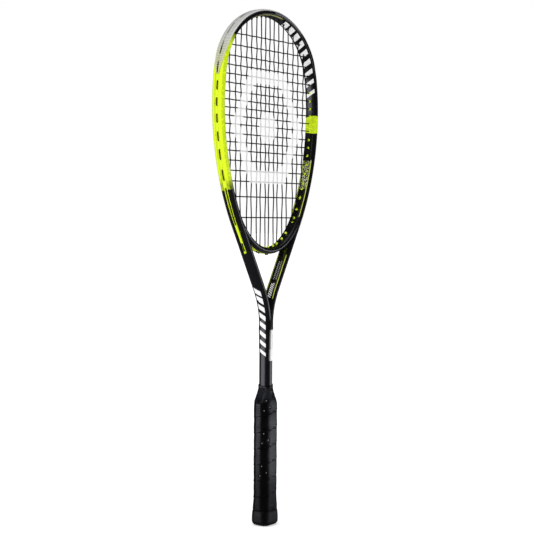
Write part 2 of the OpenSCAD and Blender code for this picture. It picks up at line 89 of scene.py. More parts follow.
def make_camera():
    azimuth = math.radians(CAMERA_AZIMUTH)
    heading = math.radians(CAMERA_AZIMUTH + CAMERA_YAW)
    pitch = math.radians(CAMERA_PITCH)
    roll = math.radians(CAMERA_ROLL)
    forward = Vector((-math.sin(heading) * math.cos(pitch), math.cos(heading) * math.cos(pitch),
                      math.sin(pitch)))
    level = Vector((math.cos(heading), math.sin(heading), 0))
    up = level.cross(forward)
    right = level * math.cos(roll) + up * math.sin(roll)
    up = up * math.cos(roll) - level * math.sin(roll)
    place = Vector((math.sin(azimuth), -math.cos(azimuth), 0)) * CAMERA_DISTANCE
    place.z = CAMERA_HEIGHT
    data = bpy.data.cameras.new("camera")
    data.sensor_width = 36
    data.lens = 36 * FOCAL / PHOTO_SIDE
    data.clip_end = 50
    camera = bpy.data.objects.new("camera", data)
    turn = Matrix((right, up, -forward)).transposed().to_4x4()
    camera.matrix_world = Matrix.Translation(place * MM) @ turn
    bpy.context.scene.collection.objects.link(camera)
    bpy.context.scene.camera = camera


# ---------------------------------------------------------------- frame centreline

TUBE_HALF_N = 4.7               # half width of the tube, face on
TUBE_HALF_Y = 9.3               # half depth, through the string bed
SECTION_POWER = 2.5             # of the superellipse that its section follows
GUARD_T = 1.15                  # thickness of the bumper guard
HEAD_TOP = CAD_HIGH.z / MM - TUBE_HALF_N - GUARD_T
HEAD_ARCS = ((106, 36), (92.5, 45), (276, 9), (318, 29))    # radius and angle, from the tip
LEAN = 29                       # lean of the throat legs, in degrees
CROTCH_R = 105                  # radius of the bend from each leg into the shaft
LEG_OFFSET = 1.6                # from the racket's axis to each leg's centreline at the shaft
SHAFT_LOW = low_of("shaft_tube")


def make_path():
    """Knots of the right half's centreline: distance along, and the outward normal's angle from +Z."""
    reach = 0
    turn = 0
    x = 0
    knots = [(0, 0)]
    for radius, angle in HEAD_ARCS:
        x += radius * (math.sin(math.radians(turn + angle)) - math.sin(math.radians(turn)))
        turn += angle
        reach += radius * math.radians(angle)
        knots.append((reach, turn))
    lean = math.radians(LEAN)
    leg = (x - LEG_OFFSET - CROTCH_R * (1 - math.cos(lean))) / math.sin(lean)
    knots.append((reach + leg, turn))
    knots.append((reach + leg + CROTCH_R * lean, 90))
    knots.append((reach + leg + CROTCH_R * lean + 400, 90))
    return np.array(knots).T


KNOT_S, KNOT_TURN = make_path()
SHAFT_START = KNOT_S[-2]
LEG_START = KNOT_S[4]
TABLE_S = np.arange(0, KNOT_S[-1], 0.25)
_middle = np.radians(np.interp(TABLE_S[:-1] + 0.125, KNOT_S, KNOT_TURN))
TABLE_X = np.concatenate([[0], np.cumsum(np.cos(_middle) * 0.25)])
TABLE_Z = HEAD_TOP - np.concatenate([[0], np.cumsum(np.sin(_middle) * 0.25)])
WIDEST = KNOT_S[3]              # where the head is widest


def turn_at(s):
    return np.radians(np.interp(s, KNOT_S, KNOT_TURN))


def place(s, n, y, side=1):
    """Points at distance s along, n out and y through, on the right (1) or left (-1) half."""
    s, n, y = np.broadcast_arrays(np.asarray(s, float), n, y)
    turn = turn_at(s)
    x = np.interp(s, TABLE_S, TABLE_X) + n * np.sin(turn)
    z = np.interp(s, TABLE_S, TABLE_Z) + n * np.cos(turn)
    return np.stack([side * x, y, z], -1)


def signed_place(s, n, y):
    """The same, where s is negative on the left half."""
    s = np.asarray(s, float)
    spot = place(np.abs(s), n, y)
    spot[..., 0] *= np.where(s < 0, -1, 1).reshape(s.shape + (1,) * (spot.ndim - 1 - s.ndim))
    return spot


def along_at_height(z, n=0):
    """Distance along at which the line n out from the centreline passes height z."""
    heights = TABLE_Z + n * np.cos(turn_at(TABLE_S))
    return float(np.interp(-z, -heights, TABLE_S))


def along_at_x(x, n, top):
    """The same for distance x from the middle, in the top or the bottom half of the head."""
    part = (TABLE_S <= WIDEST) if top else (TABLE_S >= WIDEST) & (TABLE_S < LEG_START + 90)
    reach = TABLE_X[part] + n * np.sin(turn_at(TABLE_S[part]))
    order = np.argsort(reach)
    return float(np.interp(x, reach[order], TABLE_S[part][order]))


def signed_power(value, power):
    return np.sign(value) * np.abs(value) ** power


def oval(v, half_n=TUBE_HALF_N, half_y=TUBE_HALF_Y):
    """Rounded section at angle v, from the outside (0) by the back (90 degrees) to the inside."""
    power = 2 / SECTION_POWER
    return half_n * signed_power(np.cos(v), power), half_y * signed_power(np.sin(v), power)


def oval_angle(half_y, y):
    """Angle at which the section's outer side is y from the middle plane."""
    return math.asin((y / half_y) ** (SECTION_POWER / 2))


def run_along(x, y):
    """Distance along a line of points from its first one."""
    return np.concatenate([[0], np.cumsum(np.hypot(np.diff(x), np.diff(y)))])


def even_angles(start, stop, count, half_n=TUBE_HALF_N, half_y=TUBE_HALF_Y):
    """Section angles between two angles, evenly spaced round the outline."""
    v = np.linspace(start, stop, 2001)
    run = run_along(*oval(v, half_n, half_y))
    return np.interp(np.linspace(0, run[-1], count), run, v)


def ring_angles(sides):
    return np.arange(sides) * 2 * math.pi / sides


def eased(value):
    """0 below 0, 1 above 1 and a smooth step between them."""
    value = min(1.0, max(0.0, value))
    return value * value * (3 - 2 * value)


# ---------------------------------------------------------------- meshes

def add_piece(name, points, faces, material, slot, stands_for=(), paint=None, sharp=38, close=True,
              extra=()):
    """A mesh piece from points in millimetres. paint is one (along, n, y) for each point."""
    mesh = bpy.data.meshes.new(name)
    mesh.from_pydata((np.asarray(points) * MM).tolist(), [], [list(map(int, f)) for f in faces])
    if paint is not None:
        layer = mesh.attributes.new("paint", "FLOAT_VECTOR", "POINT")
        layer.data.foreach_set("vector", np.asarray(paint, np.float32).ravel())
    work = bmesh.new()
    work.from_mesh(mesh)
    bmesh.ops.dissolve_degenerate(work, dist=1e-7, edges=work.edges)
    if close:
        rim = [e for e in work.edges if e.is_boundary]
        bmesh.ops.holes_fill(work, edges=rim, sides=0)
    bmesh.ops.recalc_face_normals(work, faces=work.faces)
    work.to_mesh(mesh)
    work.free()
    mesh.polygons.foreach_set("use_smooth", [True] * len(mesh.polygons))
    mesh.set_sharp_from_angle(angle=math.radians(sharp))
    mesh.materials.append(material)
    for more in extra:
        mesh.materials.append(more)
    piece = bpy.data.objects.new(name, mesh)
    bpy.context.scene.collection.objects.link(piece)
    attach(piece, "root")
    if stands_for:
        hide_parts(*stands_for)
    return piece


def grid_faces(rows, columns, closed, first=0):
    """Quads over rows of points, closed round each row or not."""
    faces = []
    for i in range(rows - 1):
        for j in range(columns if closed else columns - 1):
            a = first + i * columns + j
            b = first + i * columns + (j + 1) % columns
            faces.append((a, b, b + columns, a + columns))
    return faces


class Shape:
    """Points and faces of one piece, gathered from several grids."""

    def __init__(self):
        self.points = []
        self.paint = []
        self.faces = []
        self.count = 0

    def add_grid(self, points, paint=None, closed=True, caps=False):
        rows, columns = points.shape[:2]
        self.faces += grid_faces(rows, columns, closed, self.count)
        if caps:
            self.faces.append([self.count + j for j in range(columns)])
            last = self.count + (rows - 1) * columns
            self.faces.append([last + j for j in range(columns)])
        self.points.append(points.reshape(-1, 3))
        if paint is None:
            paint = np.zeros(points.shape)
        self.paint.append(np.asarray(paint, float).reshape(-1, 3))
        self.count += rows * columns

    def add_net(self, points, paint, faces):
        self.faces += [tuple(i + self.count for i in f) for f in faces]
        self.points.append(points)
        self.paint.append(paint)
        self.count += len(points)

    def make(self, name, material, slot, **settings):
        return add_piece(name, np.concatenate(self.points), self.faces, material, slot,
                         paint=np.concatenate(self.paint), **settings)


def without_repeats(route):
    """The route as an array, without points that lie on the one before."""
    route = np.array(route, float)
    step = np.linalg.norm(np.diff(route, axis=0), axis=1)
    return route[np.concatenate([[True], step > 1e-4])]


def tube(shape, route, radius, sides=8, paint=None):
    """A round tube along a route of points, with its section carried along without twist."""
    route = without_repeats(route)
    heading = np.gradient(route, axis=0)
    heading /= np.linalg.norm(heading, axis=1)[:, None]
    normal = np.cross(heading[0], (0, 1, 0.01))
    a = ring_angles(sides)
    rings = []
    for centre, way in zip(route, heading):
        normal = normal - way * normal.dot(way)
        normal /= np.linalg.norm(normal)
        across = np.cross(way, normal)
        rings.append(centre + radius * (np.cos(a)[:, None] * normal + np.sin(a)[:, None] * across))
    shape.add_grid(np.array(rings), paint, caps=True)


# ---------------------------------------------------------------- materials

class Look:
    """A node material. Masks and colours come from sums, steps and noise of a few coordinates."""

    def __init__(self, name, **inputs):
        self.material = bpy.data.materials.new(name)
        self.material.use_nodes = True
        self.tree = self.material.node_tree
        self.shader = self.tree.nodes["Principled BSDF"]
        for key, value in inputs.items():
            self.shader.inputs[key.replace("_", " ")].default_value = value

    @classmethod
    def of_tree(cls, tree, shader):
        """The same helper for a node tree that is already there."""
        look = cls.__new__(cls)
        look.tree = tree
        look.shader = tree.nodes[shader]
        return look

    def node(self, kind, **settings):
        made = self.tree.nodes.new(kind)
        for key, value in settings.items():
            setattr(made, key, value)
        return made

    def put(self, socket, value):
        if isinstance(value, bpy.types.NodeSocket):
            self.tree.links.new(value, socket)
        else:
            socket.default_value = value

    def math(self, operation, *values):
        made = self.node("ShaderNodeMath", operation=operation)
        for socket, value in zip(made.inputs, values):
            self.put(socket, value)
        return made.outputs[0]

    def step(self, x, low, high):
        """0 below low, 1 above high and smooth between them; falling if low is above high."""
        made = self.node("ShaderNodeMapRange", interpolation_type="SMOOTHSTEP")
        self.put(made.inputs["Value"], x)
        self.put(made.inputs["From Min"], min(low, high))
        self.put(made.inputs["From Max"], max(low, high))
        made.inputs["To Min"].default_value = 0 if low < high else 1
        made.inputs["To Max"].default_value = 1 if low < high else 0
        return made.outputs["Result"]

    def between(self, x, low, high, soft=0.25):
        return self.both(self.step(x, low - soft, low + soft), self.step(x, high + soft, high - soft))

    def both(self, *masks):
        out = masks[0]
        for mask in masks[1:]:
            out = self.math("MULTIPLY", out, mask)
        return out

    def either(self, *masks):
        out = masks[0]
        for mask in masks[1:]:
            out = self.math("MAXIMUM", out, mask)
        return out

    def mix(self, mask, first, second):
        made = self.node("ShaderNodeMix", data_type="RGBA")
        self.put(made.inputs["Factor"], mask)
        for socket, value in ((made.inputs[6], first), (made.inputs[7], second)):
            self.put(socket, (*value, 1) if isinstance(value, tuple) else value)
        return made.outputs[2]

    def noise(self, vector, scale, detail=2.0, roughness=0.5):
        made = self.node("ShaderNodeTexNoise")
        self.put(made.inputs["Vector"], vector)
        made.inputs["Scale"].default_value = scale
        made.inputs["Detail"].default_value = detail
        made.inputs["Roughness"].default_value = roughness
        return made.outputs["Fac"]

    def cells(self, vector, scale):
        """Distance to the nearest of the points strewn through space."""
        made = self.node("ShaderNodeTexVoronoi")
        self.put(made.inputs["Vector"], vector)
        made.inputs["Scale"].default_value = scale
        return made.outputs["Distance"]

    def place(self):
        """Object coordinates in millimetres: the vector, and x, y and z."""
        made = self.node("ShaderNodeTexCoord")
        grow = self.node("ShaderNodeVectorMath", operation="SCALE")
        self.tree.links.new(made.outputs["Object"], grow.inputs[0])
        grow.inputs["Scale"].default_value = 1 / MM
        parts = self.node("ShaderNodeSeparateXYZ")
        self.tree.links.new(grow.outputs[0], parts.inputs[0])
        return (grow.outputs[0], *parts.outputs)

    def paint(self):
        """The piece's own (along, n, y): the vector, and its parts."""
        made = self.node("ShaderNodeAttribute", attribute_name="paint")
        parts = self.node("ShaderNodeSeparateXYZ")
        self.tree.links.new(made.outputs["Vector"], parts.inputs[0])
        return (made.outputs["Vector"], *parts.outputs)

    def bump(self, height, strength, distance=0.0003):
        made = self.node("ShaderNodeBump")
        self.put(made.inputs["Height"], height)
        made.inputs["Strength"].default_value = strength
        made.inputs["Distance"].default_value = distance
        self.put(self.shader.inputs["Normal"], made.outputs[0])

    def set(self, name, value):
        self.put(self.shader.inputs[name], value)

    def rough(self, mask, spread, least):
        """Roughness that rises by spread over its least value where the mask is 1."""
        self.set("Roughness", self.math("MULTIPLY_ADD", mask, spread, least))


BLACK = (0.0025, 0.0025, 0.003)
BLACK_WORN = (0.005, 0.005, 0.006)
NEON = (0.72, 0.90, 0.004)
# the neon in painted shade, for faces turned away from the light
NEON_SHADED = (0.48, 0.66, 0.0)
PALE_YELLOW = (0.66, 0.72, 0.08)
OLIVE = (0.36, 0.40, 0.03)
WHITE = (0.86, 0.86, 0.87)

# heights at which the paint changes, on the left and right beams
NEON_TOP_Z = 643
NEON_LOW_Z = 447
BAND_Z = (528.5, 551.5)
HEAD_BARS_Z = (571, 674.6)
SPECKLE_Z = (450, 489)
PINSTRIPE_Z = (390, 490)
LEG_LINES_Z = (303, 359)
SHAFT_BARS_Z = (221, 318)
SHAFT_BLOCK_Z = (220.5, 262)


def span(heights):
    """Distances along at which the paint between two heights starts and stops."""
    return along_at_height(heights[1]), along_at_height(heights[0])


def slanted_bars(look, along, across, start, stop, count, slant):
    """White bars across a stripe between two distances along, each thinner than the one before."""
    pitch = (stop - start) / count
    run = look.math("DIVIDE", look.math("SUBTRACT", look.math("MULTIPLY_ADD", across, slant, along),
                                        start), pitch)
    part = look.math("FRACT", run)
    share = look.math("MULTIPLY_ADD", look.math("FLOOR", run), -0.40 / count, 0.72)
    edge = look.math("SUBTRACT", share, part)
    inside = look.both(look.step(edge, -0.02, 0.02), look.step(part, 0, 0.04))
    return look.both(inside, look.step(run, 0, 0.02), look.step(run, count, count - 0.02))


def frame_paint():
    """Black lacquer with neon and white decoration."""
    look = Look("frame_lacquer", Specular_IOR_Level=0.25, Coat_Weight=1.0, Coat_Roughness=0.08)
    spot, x, _, z = look.place()
    _, along, n, y = look.paint()
    left = look.step(x, 0.05, -0.05)
    right = look.step(x, -0.05, 0.05)
    wave = look.math("MULTIPLY_ADD", look.noise(spot, 0.09, 3), 5.0, -2.5)
    inner = look.step(n, 1.2, 0.6)

    # left beam: neon from under the guard to a wavy edge, dusted darker towards its end
    top_edge = along_at_height(NEON_TOP_Z)
    low_edge = along_at_height(NEON_LOW_Z)
    wavy = look.math("ADD", along, wave)
    neon_left = look.both(left, look.step(along, top_edge - 1, top_edge + 1),
                          look.step(wavy, low_edge + 0.5, low_edge - 0.5))
    dust = look.both(look.step(wavy, low_edge - 20, low_edge - 2),
                     look.either(look.step(look.noise(spot, 0.55, 4, 0.7), 0.30, 0.62),
                                 look.step(y, -5, -8)))

    # right beam: a neon band with rounded ends
    corner = look.math("MAXIMUM", look.math("MULTIPLY_ADD", y, 1 / (2 * TUBE_HALF_Y), 0.5),
                       look.math("MULTIPLY_ADD", n, 1 / (2 * TUBE_HALF_N), 0.5))
    bulge = look.math("MULTIPLY", look.math("MULTIPLY_ADD", look.math("MULTIPLY", corner, corner),
                                            -1.0, 1.0), 3.0)
    middle = along_at_height(sum(BAND_Z) / 2)
    half = (along_at_height(BAND_Z[0]) - along_at_height(BAND_Z[1])) / 2 - 2
    off = look.math("SUBTRACT", look.math("ABSOLUTE", look.math("SUBTRACT", along, middle)), bulge)
    neon_right = look.both(right, look.step(off, half + 0.4, half - 0.4))

    # lines along the inner face, on the right beam and on the right throat leg
    leg_start, leg_stop = span(LEG_LINES_Z)
    on_line = look.either(look.between(along, *span(PINSTRIPE_Z), 1.0),
                          look.between(along, leg_start, leg_stop, 1.0))
    front_line = look.both(right, inner, on_line, look.between(y, -7.15, -6.35, 0.2))
    back_line = look.both(right, inner, on_line, look.between(y, 5.6, 7.1, 0.2))

    # fine speckle between the lines
    fleck = look.both(look.step(look.cells(spot, 0.95), 0.49, 0.37),
                      look.step(look.noise(spot, 0.5, 1), 0.34, 0.46))
    speckle = look.both(right, inner, fleck, look.between(along, *span(SPECKLE_Z), 0.5),
                        look.between(y, -6.4, 6.8, 0.3))

    # slanted bars on the right beam and down the left leg to the shaft, in place of lettering
    head_bars = look.both(right, look.step(n, 0.2, -0.2), look.between(y, -7.5, 5.2, 0.2),
                          slanted_bars(look, along, y, *span(HEAD_BARS_Z), 9, -0.55))
    outer = look.step(n, 0.6, 1.0)
    shaft_bars = look.both(left, outer, look.between(y, -4.2, 5.6, 0.2),
                           slanted_bars(look, along, y, *span(SHAFT_BARS_Z), 8, 0.6))
    block = look.both(look.step(z, SHAFT_BLOCK_Z[0] - 0.2, SHAFT_BLOCK_Z[0] + 0.2), look.step(y, -5.5, -5.9),
                      look.step(x, -4.6, 0.4), look.step(z, SHAFT_BLOCK_Z[1] + 0.5, SHAFT_BLOCK_Z[1] - 1))
    # short dashes on the leg's inner face, in place of small print
    ticks = look.step(look.math("PINGPONG", look.math("MULTIPLY_ADD", y, 0.5, along), 1.3), 0.45, 0.75)
    fine_print = look.both(look.between(along, leg_start + 10, leg_stop - 26, 0.5),
                           look.either(look.between(y, -4.2, -2.4, 0.2), look.between(y, -0.8, 1.4, 0.2)))
    bold_print = look.both(look.between(along, leg_stop - 20, leg_stop - 1, 0.5),
                           look.between(y, -3.8, 1.8, 0.2))
    dashes = look.both(right, inner, ticks,
                       look.either(look.math("MULTIPLY", fine_print, 0.35), bold_print))
    olive = look.both(look.step(n, -1.5, -1.9), look.between(y, -8.6, -6.6, 0.3),
                      look.step(along, 50, 40), look.either(left, look.step(along, 26, 18)))
    # painted highlight: a thin pale line along the crest of the right beam's front edge
    crest_highlight = look.both(right, look.step(y, -8.6, -8.9), look.between(n, 0.3, 1.7, 0.3),
                      look.step(along, 2, 8), look.step(along, 72, 55))

    # painted shade: the neon is darker on every face but its outer side, where the light falls
    neon = look.mix(look.step(n, 3.9, 3.0), NEON, NEON_SHADED)
    neon = look.mix(look.step(look.noise(spot, 0.35, 3), 0.45, 0.75), neon, (0.80, 0.97, 0.008))
    neon = look.mix(look.step(along, top_edge + 14, top_edge), neon, (0.17, 0.24, 0.003))
    neon = look.mix(dust, neon, (0.10, 0.14, 0.004))
    shade = look.noise(spot, 1.6, 3)
    colour = look.mix(shade, BLACK, BLACK_WORN)
    colour = look.mix(look.either(neon_left, neon_right), colour, neon)
    colour = look.mix(olive, colour, (0.30, 0.30, 0.11))
    colour = look.mix(crest_highlight, colour, (0.16, 0.16, 0.17))
    colour = look.mix(back_line, colour, OLIVE)
    colour = look.mix(front_line, colour, PALE_YELLOW)
    colour = look.mix(speckle, colour, look.mix(look.step(look.noise(spot, 1.1, 0), 0.45, 0.55),
                                                WHITE, NEON))
    colour = look.mix(look.either(head_bars, shaft_bars, block, dashes), colour, WHITE)
    look.set("Base Color", colour)
    look.rough(look.noise(spot, 0.8, 2), 0.10, 0.27)
    look.bump(look.noise(spot, 2.2, 2), 0.05, 0.0001)
    return look.material


def mottled(name, tones, drift, grain, relief, rough=None, **inputs):
    """A material whose colour drifts between two tones, with a fine grain in its surface.

    drift and grain are a noise's scale and detail, and relief is the grain's strength and depth.
    rough is the scale and detail of the roughness's own noise, with its spread and least value.
    """
    look = Look(name, **inputs)
    spot, *_ = look.place()
    look.set("Base Color", look.mix(look.noise(spot, *drift), *tones))
    if rough:
        look.rough(look.noise(spot, *rough[:2]), *rough[2:])
    look.bump(look.noise(spot, *grain), *relief)
    return look.material


def bridge_paint():
    return mottled("bridge_lacquer", (BLACK, BLACK_WORN), (1.6, 3), (2.2, 2), (0.05, 0.0001),
                   (0.8, 2, 0.10, 0.25), Specular_IOR_Level=1.0, Coat_Weight=1.0, Coat_Roughness=0.05)


GUARD_GREY = (0.52, 0.52, 0.51)


def guard_nylon():
    """Pale grey on the left and over the top, black on the right, tinted yellow at its left end."""
    look = Look("guard_nylon", Specular_IOR_Level=0.4)
    spot, x, *_ = look.place()
    _, along, rim, y = look.paint()
    start = along_at_height(648)
    stop = along_at_height(596)
    left = look.step(x, 14, 6)
    tint = look.both(look.step(along, start, stop), look.step(look.noise(spot, 0.8, 3), 0.1, 0.6))
    rib_shade_wave = look.math("SINE", look.math("MULTIPLY", along, 2 * math.pi / RIB_PITCH))
    grey = look.mix(look.noise(spot, 1.2, 4, 0.6), GUARD_GREY, (0.62, 0.62, 0.60))
    grey = look.mix(tint, grey, (0.54, 0.57, 0.20))
    slot = look.step(look.math("ABSOLUTE", y), 1.4, 1.0)
    # painted shade: darker stripes across the ribs, away from the guard's edges
    grey = look.mix(look.both(look.step(rib_shade_wave, 0.1, 0.9), look.step(rim, 1.2, 2.2)), grey,
                    (0.30, 0.30, 0.29))
    # painted shade: the slot down the guard's middle is drawn darker
    grey = look.mix(look.math("MULTIPLY", slot, 0.45), grey, (0.34, 0.34, 0.31))
    # painted shadow: nearly black in the slot where a string lies in it
    grey = look.mix(look.step(rim, -0.2, -0.6), grey, (0.02, 0.02, 0.02))
    # painted highlight: a pale line near the rim on the front of the guard's black right-hand part
    wear_and_highlight = look.both(look.step(rim, 0.9, 0.4), look.step(y, -1, -2), look.step(along, 80, 60))
    black = look.mix(wear_and_highlight, (0.010, 0.010, 0.011), (0.30, 0.30, 0.31))
    look.set("Base Color", look.mix(left, black, grey))
    look.rough(look.noise(spot, 1.5, 3), 0.2, 0.42)
    look.bump(look.noise(spot, 3.5, 3), 0.12, 0.0001)
    return look.material


def barrel_nylon():
    return mottled("barrel_nylon", ((0.008, 0.008, 0.009), (0.02, 0.02, 0.021)), (1.5, 2), (4, 2),
                   (0.1, 0.0001), Roughness=0.45)


def strip_nylon():
    """Neon grommet strip, whose edges are black below the neon paint."""
    look = Look("strip_nylon")
    spot, *_ = look.place()
    _, along, n, y = look.paint()
    bare = look.step(along, along_at_height(NEON_LOW_Z) - 0.5, along_at_height(NEON_LOW_Z) + 0.5)
    narrow = look.step(along, along_at_height(NEON_LOW_Z), LEG_START + GROOVE_LEN)
    edge = look.math("SUBTRACT", look.math("ABSOLUTE", y), look.math("MULTIPLY_ADD", narrow, -0.7, 2.65))
    black = look.both(bare, look.step(n, 0.8, 1.2), look.step(edge, -0.08, 0.08))
    end = LEG_START + GROOVE_LEN
    slot = look.both(look.between(along, end - 16, end - 3.5, 1.0),
                     look.step(look.math("ABSOLUTE", y), 1.3, 0.9), look.step(n, 0.8, 1.2))
    colour = look.mix(look.noise(spot, 1.4, 3), (0.68, 0.86, 0.006), (0.78, 0.96, 0.01))
    look.set("Base Color", look.mix(look.either(black, slot), colour, (0.004, 0.004, 0.004)))
    look.rough(look.noise(spot, 1.8, 2), 0.2, 0.32)
    look.bump(look.noise(spot, 3, 2), 0.1, 0.0001)
    return look.material


STENCIL_Z = 530                 # height of the stencil's middle
STENCIL_R = 74                  # half width of its six-sided ring, to the outside
STENCIL_RING = 17               # width of the ring
STENCIL_DISC = 21               # radius of the disc


def string_look(name):
    """Black polyester with a twisted wrap, and a pale stencil: a six-sided ring round a disc."""
    look = Look(name, Specular_IOR_Level=0.3)
    spot, x, _, z = look.place()
    _, run, turn, _ = look.paint()
    up = look.math("SUBTRACT", z, STENCIL_Z)
    side = look.math("ABSOLUTE", look.math("MULTIPLY", x, 1.12))
    slope = look.math("MULTIPLY_ADD", side, 0.866, look.math("MULTIPLY", look.math("ABSOLUTE", up), 0.5))
    size = look.math("MAXIMUM", look.math("ABSOLUTE", up), slope)
    ring = look.between(size, STENCIL_R - STENCIL_RING, STENCIL_R, 0.6)
    disc = look.step(look.math("SQRT", look.math("ADD", look.math("MULTIPLY", up, up),
                                                 look.math("MULTIPLY", side, side))),
                     STENCIL_DISC + 0.6, STENCIL_DISC - 0.6)
    ink = look.both(look.either(ring, disc), look.step(look.noise(spot, 2.4, 3), 0.22, 0.34))
    twist = look.math("SINE", look.math("MULTIPLY_ADD", run, 5.5, turn))
    fibre = look.math("MULTIPLY_ADD", twist, 0.5, 0.5)
    black = look.mix(fibre, (0.001, 0.001, 0.0012), (0.003, 0.003, 0.0035))
    look.set("Base Color", look.mix(ink, black, (0.66, 0.66, 0.67)))
    look.rough(fibre, 0.15, 0.33)
    look.bump(twist, 0.35, 0.00008)
    return look.material


def grip_leather():
    """Embossed black polyurethane with patches worn to a shine."""
    look = Look("grip_polyurethane", Specular_IOR_Level=0.3, Coat_Roughness=0.18)
    spot, _, y, z = look.place()
    _, _, pit, pit_glint = look.paint()
    grain = look.cells(spot, 1.5)
    fine = look.noise(spot, 3.0, 4, 0.6)
    patch = look.noise(spot, 0.10, 3)
    colour = look.mix(patch, (0.0005, 0.0005, 0.0006), (0.0014, 0.0014, 0.0017))
    # painted sheen: the wrap's tapering top is drawn lighter, in place of the light it reflects
    colour = look.mix(look.step(z, GRIP_SHOULDER_Z, GRIP_SHOULDER_Z + 14), colour, (0.010, 0.011, 0.014))
    # painted shade: the pits are darker than the strip around them
    colour = look.mix(look.math("MULTIPLY", pit, 0.8), colour, (0.0004, 0.0004, 0.0004))
    # painted highlight: a pale glint in the middle of each pit
    colour = look.mix(pit_glint, colour, (0.42, 0.43, 0.46))
    look.set("Base Color", colour)
    wear_and_highlight = look.step(z, 10, 130)
    front = look.both(look.step(y, -9, -11), look.step(z, 45, 80), look.step(z, 155, 140))
    look.set("Coat Weight", look.either(look.math("MULTIPLY", wear_and_highlight, 0.62), front))
    look.rough(patch, 0.35, 0.20)
    look.bump(look.math("MULTIPLY_ADD", grain, 0.6, fine), 0.22, 0.0004)
    return look.material


def textured_plastic(name, dark, pale, grain, roughness):
    """Moulded plastic with a fine spark-eroded grain."""
    return mottled(name, (dark, pale), (0.25, 3), (grain, 3, 0.65), (0.25, 0.0002),
                   (0.6, 3, 0.2, roughness), Specular_IOR_Level=0.5)


def foam_look(name, dark, pale, pore):
    look = Look(name, Roughness=0.9)
    spot, *_ = look.place()
    pores = look.cells(spot, pore)
    look.set("Base Color", look.mix(pores, dark, pale))
    look.bump(pores, 0.5, 0.0004)
    return look.material


def putty_look():
    return mottled("balance_putty", ((0.14, 0.14, 0.15), (0.24, 0.24, 0.25)), (0.5, 4), (0.7, 3),
                   (0.4, 0.0005), Roughness=0.6)


def zinc_look():
    return mottled("zinc_plate", ((0.55, 0.56, 0.60), (0.72, 0.72, 0.70)), (2.5, 3), (6, 2),
                   (0.1, 0.0001), (4, 2, 0.2, 0.22), Metallic=1.0)


# ---------------------------------------------------------------- frame tube

GROOVE_FLOOR = 2.5              # n of the floor of the string groove
GROOVE_HALF = 3.4               # half width of the groove
GROOVE_LEN = 42                 # how far the groove runs down each leg
HEAD_OVERRUN = 14               # where the head tube hands over to the leg
LEG_CUT_Z = 300                 # below this height the legs and the shaft are one blended skin
CLOSED_GROOVE = 0.2
SLIM = 1.4                      # how much slimmer the tube is over the top of the head
SLIM_S = (85, 135)              # distances along between which that fades out
ROUND_POINTS = 56
SLIDE_LEN = 12                  # length of leg over which its rows turn level towards the cut


def groove_shape(s):
    """Half width and depth share of the string groove at distance s, with its rounded end."""
    left = LEG_START + GROOVE_LEN - s
    if left <= 0:
        return CLOSED_GROOVE, 0.0
    if left >= GROOVE_HALF:
        return GROOVE_HALF, 1.0
    half = math.sqrt(GROOVE_HALF ** 2 - (GROOVE_HALF - left) ** 2)
    return max(half, CLOSED_GROOVE), 1.0


def slimmer(s):
    """How far the tube's inner face lies out from its usual place, over the top of the head."""
    return SLIM * eased((SLIM_S[1] - s) / (SLIM_S[1] - SLIM_S[0]))


def tube_section(s):
    """Tube section with its string groove, as columns of n and y."""
    half, depth = groove_shape(s)
    lip = 0.3 * depth
    start = oval_angle(TUBE_HALF_Y, half + lip)
    n, y = oval(even_angles(start, 2 * math.pi - start, ROUND_POINTS))
    n = np.where(n < 0, n * (1 - slimmer(s) / TUBE_HALF_N), n)
    rim = n[0]
    wall = half
    inner = max(half - 0.3, 0.1)
    profile = [(rim - 0.25, -wall), (GROOVE_FLOOR + 0.3, -wall), (GROOVE_FLOOR, -inner),
               (GROOVE_FLOOR, 0), (GROOVE_FLOOR, inner), (GROOVE_FLOOR + 0.3, wall), (rim - 0.25, wall)]
    floor_n = [rim + depth * (p[0] - rim) for p in profile]
    floor_y = [p[1] for p in profile]
    return np.concatenate([n, floor_n]), np.concatenate([y, floor_y])


def swept_tube(stations, cut=None):
    """Rows of points of the tube and their (along, n, y); the rows turn level towards the cut."""
    rows = []
    paint = []
    for s in stations:
        n, y = tube_section(abs(s))
        slide = np.zeros(len(n))
        if cut is not None:
            turn = float(turn_at(abs(s)))
            slide = n * math.cos(turn) / math.sin(turn) * max(0.0, 1 - (cut - abs(s)) / SLIDE_LEN)
            if abs(s) >= cut - 1e-6:
                for _ in range(3):
                    spot = signed_place(s + math.copysign(1, s) * slide, n, y)
                    slide = slide + (spot[:, 2] - LEG_CUT_Z) / math.sin(turn)
        rows.append(signed_place(s + math.copysign(1, s) * slide, n, y))
        paint.append(np.stack([np.full(len(n), abs(s)), n, y], -1))
    return np.array(rows), np.array(paint)


def make_head_frame(material):
    last = LEG_START + HEAD_OVERRUN
    shape = Shape()
    shape.add_grid(*swept_tube(np.linspace(-last, last, 471)))
    shape.make("head_frame", material, "frame_paint", stands_for=["head_tube"])


def make_leg(name, node, side, material):
    start = LEG_START + HEAD_OVERRUN
    groove_end = LEG_START + GROOVE_LEN
    stop = along_at_height(LEG_CUT_Z)
    stations = np.concatenate([np.linspace(start, groove_end - 3.6, 12),
                               groove_end - 3.4 * (1 - np.sin(np.linspace(0, math.pi / 2, 12))) - 0.02,
                               [groove_end + 0.03], np.linspace(groove_end + 2, stop, 36)])
    shape = Shape()
    shape.add_grid(*swept_tube(side * stations, cut=stop))
    shape.make(name, material, "frame_paint", stands_for=[node])


# ---------------------------------------------------------------- shaft and crotch

